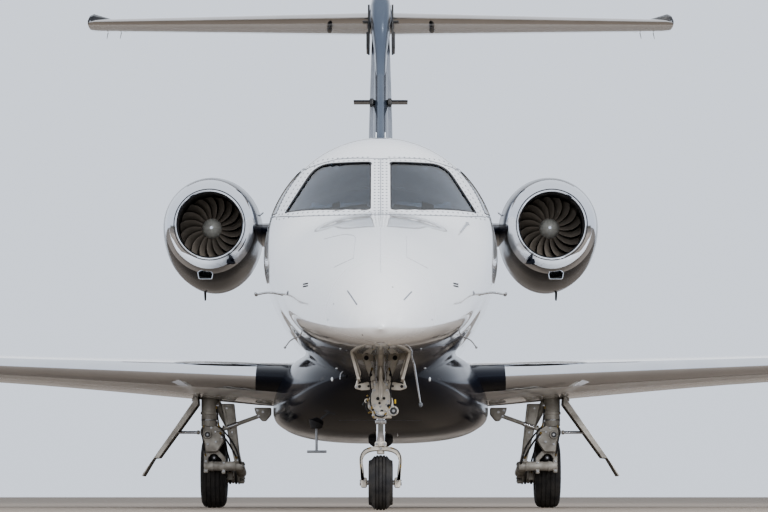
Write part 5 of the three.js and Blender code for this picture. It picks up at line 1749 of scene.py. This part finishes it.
def addDetails(mesh, place, details, side=1):
    def spot(point):
        return at(side * point[0], place + point[1], point[2])

    for corners, front, back, edge, radius in details.get("plates", ()):
        addPlate(mesh, corners, place + front, place + back, edge, radius, side)
    for start, end, *shape in details.get("rods", ()):
        addRod(mesh, spot(start), spot(end), *shape)
    for start, end, *shape in details.get("turned", ()):
        addTurned(mesh, spot(start), spot(end), *shape)
    for low, high, *shape in details.get("blocks", ()):
        addBlock(mesh, spot(low), spot(high), *shape)
    for spots, aft, *shape in details.get("bolts", ()):
        addBolts(mesh, [(side * x, z) for x, z in spots], place + aft, *shape)
    for points, radius in details.get("hoses", ()):
        addHose(mesh, [spot(point) for point in points], radius)


noseLeg = {
    "plates": [  # outline, front, back, edge, corner radius
        ([(-60, 925), (-60, 840), (-92, 775), (-92, 722), (-60, 700), (-57, 648),
          (80, 648), (84, 700), (92, 722), (90, 775), (60, 840), (60, 925)], -40, 40, 9, 14),
        ([(-12, 1018), (12, 1018), (17, 860), (6, 776), (-6, 776), (-17, 860)], -90, -30, 5, 3)],
    "rods": [  # from, to, radius, end radius, sides, material, edge
        ((0, 20, 780), (0, 20, 1330), 30), ((-216, 0, 1290), (216, 0, 1290), 38),
        ((0, 0, 1000), (0, -560, 1330), 24, 20), ((91, -62, 703), (91, 10, 703), 36, 36, 32, enamel, 5),
        ((91, -63, 703), (91, -66, 703), 25, 25, 32, steel),
        ((91, -66, 703), (91, -74, 703), 12, 12, 6, metal),
        ((-98, -50, 774), (-98, 10, 774), 18, 18, 24), ((-98, -52, 774), (-98, -50, 774), 9, 9, 16, rubber),
        ((-116, -30, 765), (-128, -34, 742), 6, 6, 10, steel),
        ((103, -30, 755), (103, -30, 786), 6, 6, 10, yellow),
        *[((x, -44, z), (x, -62, z), 7, 7, 8, brass) for x, z in ((-84, 690), (-95, 811), (-52, 660))]],
    "turned": [  # start, direction, profile of (along, radius), sides, material
        ((0, 0, 698), (0, 0, 648), [(0, 56), (6, 60), (34, 60), (40, 52), (48, 50), (50, 44)], 36),
        ((0, 0, 676), (0, 0, 648), [(0, 62), (3, 64), (9, 64), (12, 61)], 36, metal)],
    "blocks": [  # low corner, high corner, edge, material
        ((-60, -600, 1290), (60, -540, 1399), 6), ((142, -52, 925), (172, -24, 985), 5),
        ((-174, -52, 925), (-144, -24, 985), 5), ((-48, -58, 668), (-14, -38, 702), 3, metal)],
    "bolts": [  # (x, height) spots, front, radius, reach
        ([(-42, 890), (42, 890), (-44, 850), (44, 850), (-74, 760), (-40, 742),
          (42, 745), (-78, 734), (-36, 706), (38, 700), (-2, 735), (52, 772)], -40, 6),
        ([(91 + 30 * math.cos(a), 703 + 30 * math.sin(a)) for a in steps(0.4, 5.6, 0.87)], -62, 3.4, 5)],
    "hoses": [([(-62, -58, 690), (-96, -70, 705), (-104, -64, 740), (-86, -56, 790)], 4.5),
              ([(40, -60, 690), (16, -76, 660), (-30, -70, 668), (-48, -60, 700)], 4.5)],
    "plugs": [(-20, 790, 12), (24, 792, 10), (-8, 758, 9), (58, 738, 13), (-56, 712, 9), (8, 700, 12)],
}
noseLegSides = {
    "plates": [([(35, 880), (66, 905), (134, 1080), (190, 1290), (140, 1290), (78, 1080), (30, 930)],
                -22, 22, 4, 10),
               ([(50, 905), (100, 910), (135, 899), (185, 884), (183, 862),
                 (140, 848), (90, 850), (50, 865)],
                -56, -30, 4, 8)],
    "rods": [((172, -40, 880), (150, -36, 960), 9, 9, 12),
             ((52, -44, 1150), (30, -50, 900), 7, 7, 10, metal)],
    "bolts": [([(172, 873), (152, 962)], -57, 6)],
    "hoses": [([(60, -46, 1010), (78, -60, 930), (70, -64, 850), (74, -60, 770), (60, -56, 715)], 5)],
    "plugs": [(102, 1080, -23, 17), (150, 876, -57, 11), (86, 878, -57, 8), (70, 960, -23, 11)],
}


def makeNoseLeg():
    mesh = bmesh.new()
    place = gear["nosePlace"]
    addDetails(mesh, place, noseLeg)
    for x, z, radius in noseLeg["plugs"]:
        addPlug(mesh, x, z, place - 38, place - 47, radius, 1.25, 18)
    for side in (1, -1):
        addDetails(mesh, place, noseLegSides, side)
        for x, z, front, radius in noseLegSides["plugs"]:
            addPlug(mesh, side * x, z, place + front + 3, place + front - 1, radius, 1.35, 20)
    makePiece("nose_leg_casting", mesh, gearMaterials, "airframe", ["nose_gear_leg"], 45)


noseFork = {
    "rods": [((0, 0, 480), (0, 0, 700), 30, 30, 48, chrome),
             ((-146, 45, 195), (146, 45, 195), 17, 17, 20, metal),
             ((0, 40, 622), (0, 150, 548), 19, 14), ((0, 150, 548), (0, 34, 462), 14, 19),
             ((-33, 150, 548), (33, 150, 548), 15)],
    "turned": [((0, 0, 608), (0, 0, 700), [(0, 30), (4, 38), (10, 40), (28, 40), (32, 34)], 32, metal),
               ((0, 0, 450), (0, 0, 600), [(0, 34), (5, 42), (28, 42), (31, 38), (36, 36)], 32),
               ((0, 0, 396), (0, 0, 500), [(0, 20), (5, 27), (56, 27)], 28)],
    "blocks": [((-38, -46, 452), (-22, -30, 484), 3), ((22, -46, 452), (38, -30, 484), 3)],
    "bolts": [([(-30, 468), (30, 468), (0, 436)], -46, 6)],
}
noseForkSides = {
    "plates": [
        ([(0, 452), (44, 452), (100, 440), (137, 412), (152, 372), (152, 340),
          (145, 272), (141, 215), (117, 215),
          (119, 272), (128, 340), (127, 366), (112, 392), (84, 410), (44, 418), (0, 418)], -30, 71, 7, 16),
        ([(97, 158), (141, 158), (141, 232), (97, 232)], 7, 83, 6, 14)],
    "rods": [((141, 45, 195), (149, 45, 195), 24, 24, 6, metal)],
    "bolts": [([(119, 214)], 7, 6)],
    "hoses": [([(70, -33, 444), (118, -34, 424), (142, -34, 376), (140, -34, 300)], 3.5)],
}


def makeNoseFork():
    mesh = bmesh.new()
    addDetails(mesh, gear["nosePlace"], noseFork)
    for side in (1, -1):
        addDetails(mesh, gear["nosePlace"], noseForkSides, side)
    makePiece("nose_fork_casting", mesh, gearMaterials, "nose_fork", ["nose_gear_fork"], 45)


tyres = {
    "nose": {"radius": 195, "halfWidth": 87, "rim": 96, "axle": 17, "spokes": 8,
             "grooves": (-36, -13, 13, 36), "shoulders": [(0.97, 38), (0.76, 31), (0.5, 6), (0.2, 0)]},
    "main": {"radius": 300, "halfWidth": 112, "rim": 148, "axle": 32, "spokes": 10,
             "grooves": (-58, -20, 20, 58), "shoulders": [(0.93, 44), (0.78, 16), (0.4, 0)]},
}


def tyreProfile(size):
    half = size["halfWidth"]
    rows = [(share * half, size["radius"] - drop) for share, drop in size["shoulders"]]
    rows = sorted(rows + [(-x, radius) for x, radius in rows])
    crown = {x: smoothColumn(rows, 1, x) for x in steps(rows[0][0], rows[-1][0], 4)}
    for groove in size["grooves"]:
        crown = {x: radius for x, radius in crown.items() if abs(x - groove) > 4.5}
        level = smoothColumn(rows, 1, groove)
        crown.update({groove + x: level - drop for x, drop in ((-4, 0), (-2.8, 7), (2.8, 7), (4, 0))})
    wall = [(half - 14, size["rim"]), (half - 6, size["rim"] + 6),
            (half, (size["rim"] + size["radius"]) / 2 - 20)]
    return [(-x, radius) for x, radius in wall] + sorted(crown.items()) + wall[::-1]


def makeTyre(name, size, centre):
    mesh = bmesh.new()
    across = Vector((1, 0, 0))
    addTurned(mesh, centre, centre + across, tyreProfile(size), 96, loop=True)
    for way in (-1, 1):
        bead, ring = size["halfWidth"] - 8, size["rim"] + 9
        profile = [(way * bead, ring), (way * (bead + 4), ring + 2), (way * bead, ring + 5)]
        addTurned(mesh, centre, centre + across, profile, 72, loop=True)
    makePiece(f"{name}_tread", mesh, [tyreRubber], name, [f"{name}_tyre"], 40)


def makeRim(name, size, centre, side):
    mesh = bmesh.new()
    across = Vector((1, 0, 0))
    edge, outer = size["halfWidth"] - 22, size["rim"] - 0.3
    bore, dish = size["axle"] + 0.6, size["halfWidth"] - 56
    profile = [(-edge, bore), (-edge, bore + 14), (-dish - 8, bore + 22),
               (-dish, bore + 34), (-dish, outer - 24),
               (-dish - 8, outer - 12), (-edge + 4, outer - 7), (-edge, outer - 4), (-edge, outer)]
    profile = profile + [(-x, radius) for x, radius in profile[::-1]]
    addTurned(mesh, centre, centre + across, profile, 72, loop=True)
    middle = (bore + outer) / 2 + 6
    studs = {"turn": 0, "radius": 6, "material": 2, "rise": 9, "sides": 6}
    holes = {"turn": math.pi / size["spokes"], "radius": outer * 0.13,
             "material": 1, "rise": 1.2, "sides": 20}
    for angle in angles(size["spokes"]):
        for kind in (studs, holes):
            turned = angle + kind["turn"]
            out = Vector((0, math.cos(turned), math.sin(turned))) * middle * mm
            for way in (1, -1):
                start = centre + out + across * way * (dish - 1) * mm
                end = start + across * way * kind["rise"] * mm
                addRod(mesh, start, end, kind["radius"], sides=kind["sides"], material=kind["material"])
    cap = centre + across * side * (edge - 2) * mm
    addTurned(mesh, cap, cap + across * side,
              [(0, bore + 14), (3, bore + 12), (8, bore + 4), (10, bore)], 32, 2)
    makePiece(f"{name}_hub", mesh, [gearEnamel, rubberBlack, brushedMetal], name,
              [f"{name}_rim"], 40)


def makeWheel(name, size, centre, side):
    makeTyre(name, size, centre)
    makeRim(name, size, centre, side)


mainLeg = {
    "plates": [
        ([(1521, 690), (1535, 640), (1521, 600), (1500, 560), (1490, 470),
          (1390, 470), (1330, 560), (1330, 650), (1395, 700), (1440, 715)], -50, 50, 9, 16),
        ([(1504, 490), (1504, 296), (1466, 296), (1466, 420), (1440, 455),
          (1400, 455), (1351, 405), (1351, 287), (1317, 287), (1317, 425), (1375, 490)], -10, 46, 5, 10),
        ([(1244, 884), (1359, 884), (1345, 815), (1240, 380), (1189, 380)], -22, 22, 6, 10),
        ([(1262, 860), (1330, 860), (1318, 800), (1232, 470), (1206, 470)], -27, -20, 3, 8),
        ([(930, 850), (1075, 850), (1062, 800), (1010, 735), (975, 735), (930, 790)], -60, 60, 6, 12)],
    "turned": [
        ((1457, 0, 690), (1457, 0, 1049),
         [(0, 60), (4, 69), (90, 69), (94, 66), (100, 66), (104, 75), (122, 75), (126, 69), (359, 69)], 48),
        ((1457, 0, 740), (1457, 0, 760), [(0, 69), (2, 72), (9, 72), (11, 69)], 40, metal),
        ((1172, 20, 354), (1504, 20, 354),
         [(0, 34), (4, 40), (60, 40), (62, 44), (80, 44), (82, 40), (250, 40),
          (252, 44), (270, 44), (272, 40), (328, 40), (332, 34)], 36)],
    "rods": [
        ((1457, -130, 985), (1457, 190, 985), 46),
        ((1470, -66, 620), (1470, 66, 620), 36, 36, 36, enamel, 4),
        ((1470, -68, 620), (1470, -66, 620), 24, 24, 32, steel),
        ((1470, -74, 620), (1470, -68, 620), 11, 11, 6, metal),
        ((1415, -6, 425), (1415, -24, 425), 20, 20, 24, steel),
        ((1415, -24, 425), (1415, -30, 425), 9, 9, 6, metal),
        ((1200, 20, 354), (1200, 450, 300), 42, 46, 32, enamel, 6),
        ((1170, 450, 300), (1524, 450, 300), 32, 32, 32, metal),
        ((1318, 450, 300), (1222, 450, 300), 86, 86, 40, enamel, 6),
        ((1226, 450, 300), (1212, 450, 300), 100, 100, 40, enamel, 4),
        ((1200, 360, 330), (1270, 150, 690), 22, 22, 24, chrome),
        ((1262, 176, 640), (1400, 20, 900), 34, 34, 28),
        ((1402, -36, 645), (1036, -36, 777), 17, 17, 24),
        ((1300, -36, 682), (1210, -36, 714), 20, 20, 24, metal)],
    "blocks": [((1268, 300, 236), (1318, 354, 330), 8),
               *[((1372, -80, height), (1396, -62, height + 14), 2, metal) for height in (860, 790, 730)]],
    "bolts": [([(1036, 777), (1000, 812), (1048, 826)], -60, 8),
              ([(1402, 645), (1350, 600), (1400, 560), (1470, 540), (1440, 680)], -50, 7),
              ([(1486, 316), (1486, 395), (1334, 312), (1334, 380)], -10, 7),
              ([(1215, 405), (1225, 440), (1308, 845), (1262, 640)], -27, 6)],
    "hoses": [([(1366, -56, 640), (1300, -66, 560), (1252, -60, 480), (1224, -30, 420)], 8),
              ([(1380, -60, 700), (1290, -78, 600), (1228, -80, 500), (1196, -50, 390), (1190, 160, 340)],
               7),
              ([(1340, 60, 700), (1320, 90, 520), (1290, 160, 400), (1296, 310, 300)], 7),
              ([(1396, -72, 860), (1384, -80, 780), (1376, -70, 700)], 6),
              ([(1500, -70, 700), (1516, -76, 640), (1504, -60, 540), (1488, -20, 440)], 5)],
}
brake = {"discs": [(1330, 92, metal), (1304, 98, steel), (1278, 92, metal), (1252, 98, steel)],
         "discWidth": 17, "pistons": 6, "pistonsAt": 1220, "pistonCircle": 74, "pistonReach": 45}


def addBrake(mesh):
    axle, height = gear["wheelPlace"], gear["mainAxle"]
    for x, radius, material in brake["discs"]:
        addRod(mesh, at(x, axle, height), at(x - brake["discWidth"], axle, height), radius,
               sides=48, material=material)
    for angle in angles(brake["pistons"]):
        turned = angle + math.radians(20)
        out = brake["pistonCircle"] * math.cos(turned), brake["pistonCircle"] * math.sin(turned)
        start = at(brake["pistonsAt"], axle + out[0], height + out[1])
        end = start - Vector((brake["pistonReach"] * mm, 0, 0))
        addRod(mesh, start, end, 21, sides=20)
        addRod(mesh, end, end - Vector((0.007, 0, 0)), 11, sides=6, material=metal)


def makeMainLeg(name, side):
    mesh = bmesh.new()
    addDetails(mesh, gear["mainPlace"], mainLeg)
    addBrake(mesh)
    leg = makePiece(f"main_leg_{name}", mesh, mainGearMaterials)
    finishOnSide(leg, side, [f"main_gear_leg_{name}"])


def finishOnSide(piece, side, hides):
    if side < 0:
        flipAcross(piece)
    finishPiece(piece, "airframe", hides, 45)


gearDoors = {
    "nose": [(190.7, 1200), (216.7, 1200), (216.7, 1095), (166.7, 912), (140.7, 912), (190.7, 1095)],
    "noseEnds": (1680, 2300), "noseHinge": [(176, 1090), (190, 1090), (150, 950), (136, 930), (134, 960)],
    "noseHingesAt": (1740, 2000, 2190), "hingeWidth": 14,
    "main": [(1562, 938), (2022, 276), (2007, 265), (1917, 417), (1872, 421), (1543, 875), (1548, 930)],
    "mainReach": 190, "pocket": [(1586, 881), (1891, 460), (1854, 433), (1549, 854)], "pocketReach": 176,
}
mainDoorFittings = {
    "plates": [([(1548, 900), (1600, 900), (1598, 925), (1566, 975), (1548, 975)], aft - 15, aft + 15, 4, 6)
               for aft in (-150, 150)]
              + [([(1592, 872), (1878, 466), (1858, 452), (1570, 856)], aft - 5, aft + 5, 2, 4)
                 for aft in (-110, -40, 40, 110)],
    "rods": [((1536, 0, 640), (1768, 0, 640), 12, 12, 20, metal), ((1540, 0, 640), (1560, 0, 640), 18),
             ((1730, 0, 640), (1764, 0, 640), 17)],
}


def makeNoseDoor(name, side):
    mesh = bmesh.new()
    addPlate(mesh, gearDoors["nose"], *gearDoors["noseEnds"], 3, 6)
    for place in gearDoors["noseHingesAt"]:
        addPlate(mesh, gearDoors["noseHinge"], place, place + gearDoors["hingeWidth"], 3, 5)
    door = makePiece(f"nose_door_{name}", mesh, [gearEnamel, navyPaint])
    for face in door.data.polygons:
        if face.normal.x > 0.6:
            face.material_index = 1
    finishOnSide(door, side, [f"nose_gear_door_{name}"])


def makeMainDoor(name, side):
    mesh = bmesh.new()
    place, reach = gear["mainPlace"], gearDoors["mainReach"]
    addPlate(mesh, gearDoors["main"], place - reach, place + reach, 4, 4)
    panel = makePiece(f"main_door_{name}", mesh, [whitePaint, doorInnerPaintedShade, shadedMainEnamel])
    reach = gearDoors["pocketReach"]
    carve(panel, [prism(gearDoors["pocket"], place - reach, place + reach, "y")])
    # Faces turned inwards and the pocket get the dark inner colour as painted shade; the front and back
    # edges get the darker main gear enamel, also painted shade
    for face in panel.data.polygons:
        if face.normal.x < 0.3:
            face.material_index = 2 if abs(face.normal.y) > 0.6 and face.material_index == 0 else 1
    finishOnSide(panel, side, [f"main_gear_door_{name}"])
    mesh = bmesh.new()
    addDetails(mesh, place, mainDoorFittings)
    fittings = makePiece(f"main_door_fittings_{name}", mesh, mainGearMaterials)
    finishOnSide(fittings, side, ())


def makeGear():
    makeNoseLeg()
    makeNoseFork()
    noseCentre = at(0, gear["nosePlace"] + gear["trail"], gear["noseAxle"])
    makeWheel("nose_wheel", tyres["nose"], noseCentre, 1)
    for name, side in bothSides:
        makeMainLeg(name, side)
        mainCentre = at(gear["track"] * side, gear["wheelPlace"], gear["mainAxle"])
        makeWheel(f"main_wheel_{name}", tyres["main"], mainCentre, side)
    for name, side in bothSides:
        makeNoseDoor(name, side)
        makeMainDoor(name, side)
    print("landing gear ready")


makeGear()


# Cabin: seats with padded cushions, backs and headrests

cabinSetup = {
    "seats": [  # name, x, place, facing, width, back height
        ("pilot_seat", 330, 3680, 1, 440, 1060), ("copilot_seat", -330, 3680, 1, 440, 1060),
        ("cabin_seat_1", 370, 6150, -1, 500, 1000), ("cabin_seat_2", -370, 6150, -1, 500, 1000),
        ("cabin_seat_3", 370, 7350, 1, 500, 1000), ("cabin_seat_4", -370, 7350, 1, 500, 1000)],
    "floor": 1250.3, "backFoot": 300, "headrest": 210, "frontLean": (150, 280), "rearLean": (240, 352),
    "inset": 14, "voxel": 0.012, "pressure": 4.0, "frames": 20, "cap": 0.014, "fill": 0.7,
}


def padMesh(corners, width, radius):
    outline = roundedOutline(corners, radius, 6)
    middle = sum(outline, Vector((0, 0))) / len(outline)
    half = width / 2
    ends = [(half, 0.82), (half - 8, 0.92), (half - 26, 0.98), (half - 70, 1.0)]
    rings = []
    for x, scale in [(-x, scale) for x, scale in ends] + ends[::-1]:
        rings.append([Vector((x, middle.x + (u - middle.x) * scale, middle.y + (v - middle.y) * scale)) * mm
                      for u, v in outline])
    mesh = bmesh.new()
    addRings(mesh, rings)
    return mesh


def applyModifiers(pad):
    graph = bpy.context.evaluated_depsgraph_get()
    shaped = bpy.data.meshes.new_from_object(pad.evaluated_get(graph))
    pad.modifiers.clear()
    pad.data = shaped


def swellPad(pad):
    remesh = pad.modifiers.new("remesh", "REMESH")
    remesh.mode = "VOXEL"
    remesh.voxel_size = cabinSetup["voxel"]
    applyModifiers(pad)
    starts = [vertex.co.copy() for vertex in pad.data.vertices]
    cloth = pad.modifiers.new("swell", "CLOTH")
    cloth.settings.use_pressure = True
    cloth.settings.uniform_pressure_force = cabinSetup["pressure"]
    cloth.settings.effector_weights.gravity = 0
    scene = bpy.context.scene
    for number in range(1, cabinSetup["frames"] + 1):
        scene.frame_set(number)
    applyModifiers(pad)
    scene.frame_set(1)
    for vertex, start in zip(pad.data.vertices, starts):
        move = vertex.co - start
        if move.length > cabinSetup["cap"]:
            vertex.co = start + move.normalized() * cabinSetup["cap"]


def sewSeams(pad, lines, down):
    tree = BVHTree.FromObject(pad, bpy.context.evaluated_depsgraph_get())
    mesh = bmesh.new()
    for line in lines:
        hits = [tree.ray_cast(point - down * 0.4, down)[0] for point in line]
        path = [hit - down * 0.0004 for hit in hits if hit]
        if len(path) > 2:
            addTube(mesh, smoothPath(path, 3), 2.6, 8)
    return mesh


def padShapes(width, backHeight):
    inset, foot = cabinSetup["inset"], cabinSetup["backFoot"]
    split = backHeight - cabinSetup["headrest"]
    heights = (foot, split, split + 16, backHeight)

    def leaning(low, high):
        return [low + (high - low) / (backHeight - foot) * (height - foot) for height in heights]

    front, rear = leaning(*cabinSetup["frontLean"]), leaning(*cabinSetup["rearLean"])
    cushion = [(-280 + inset, 264), (140, 264), (140, 404 - inset), (-280 + inset, 430 - inset)]
    back = [(front[0] + inset, 400), (rear[0] + 12, 400), (rear[1], split - 8),
            (front[1] + inset, split - 8)]
    headrest = [(front[2] + inset, split + 14), (rear[2], split + 14), (rear[3], backHeight - inset),
                (front[3] + inset, backHeight - inset)]
    return [  # label, (y, z) corners, width, corner radius, direction in which the seams are laid
        ("cushion", cushion, width - 24, 50, Vector((0, 0, -1))),
        ("back", back, width - 44, 36, Vector((0, 1, 0))),
        ("headrest", headrest, width * 0.56, 34, Vector((0, 1, 0)))]


def seamLines(label, corners, width):
    low, high = corners[0][1], corners[3][1]
    across = steps(50 - width / 2, width / 2 - 50, 20)
    if label == "cushion":
        lines = [[(share * width, y, 420) for y in steps(-250, 110, 24)] for share in (-0.36, 0, 0.36)]
        lines.append([(x, -70, 420) for x in across])
    else:
        lines = [[(share * width, 200, z) for z in steps(low + 24, high - 24, 20)] for share in (-0.3, 0.3)]
        lines.append([(x, 200, (low + high) / 2) for x in across])
    return [[Vector(point) * mm for point in line] for line in lines]


def makePads(width, backHeight):
    pads = []
    for label, corners, padWidth, radius, down in padShapes(width, backHeight):
        pad = makePiece(f"{label}_{width}", padMesh(corners, padWidth, radius), [leather])
        swellPad(pad)
        sewn = sewSeams(pad, seamLines(label, corners, padWidth), down)
        pads.append((label, pad, makePiece(f"{label}_{width}_seams", sewn, [seamLeather])))
    return pads


def seatFrameMesh(width, backHeight):
    mesh = bmesh.new()
    reach = width / 2 - 20
    for low, high, edge in (((-100, -200, 0), (100, 180, 30), 6), ((-75, -160, 30), (75, 140, 235), 14),
                            ((-reach, -262, 235), (reach, 222, 262), 8)):
        addBlock(mesh, Vector(low) * mm, Vector(high) * mm, edge)
    half = width / 2 - 16
    low, high = cabinSetup["backFoot"], backHeight - 6
    rings = []
    for across in (-half, 14 - half, half - 14, half):
        edge = 10 if abs(across) == half else 0
        corners = ((238 + edge, low + edge), (266 - edge, low + edge), (376 - edge, high - edge),
                   (346 + edge, high - edge))
        rings.append([Vector((across, y, z)) * mm for y, z in corners])
    addRings(mesh, rings)
    for side in (1, -1):
        arm = side * (width / 2 - 24)
        addBlock(mesh, Vector((arm - 18, -120, 575)) * mm, Vector((arm + 18, 268, 600)) * mm, 8, 1)
        addRod(mesh, Vector((arm, 250, 460)) * mm, Vector((arm, 262, 585)) * mm, 9, sides=12, material=2)
    return mesh


def placeOnSeat(piece, turn, hides=(), sharp=60):
    piece.data.transform(turn)
    finishPiece(piece, "airframe", hides, sharp)


def makeSeat(name, x, place, facing, width, backHeight, pads):
    angle = 0 if facing > 0 else math.pi
    turn = Matrix.Translation(at(x, place, cabinSetup["floor"])) @ Matrix.Rotation(angle, 4, "Z")
    materials = [cabinTrim, panelPlastic, brushedMetal]
    seatFrame = makePiece(f"{name}_frame", seatFrameMesh(width, backHeight), materials)
    placeOnSeat(seatFrame, turn, [name], 40)
    for label, source, sewn in pads:
        pad = copyOf(source, f"{name}_{label}")
        placeOnSeat(pad, turn)
        placeOnSeat(copyOf(sewn, f"{name}_{label}_seams"), turn)


def makeSeats():
    made = {}
    for seat in cabinSetup["seats"]:
        size = seat[-2:]
        if size not in made:
            made[size] = makePads(*size)
        makeSeat(*seat, made[size])
    for pads in made.values():
        for _, *models in pads:
            for model in models:
                bpy.data.objects.remove(model)
    print("seats ready")


makeSeats()


# CAD nodes that are shown as they are, in their own materials

def paintPlainNodes():
    plain = {"aft_bulkhead": cabinTrim, "cabin_floor": carpet, "instrument_panel": panelPlastic}
    for name, material in plain.items():
        materials = nodes[name].data.materials
        materials.clear()
        materials.append(material)


paintPlainNodes()
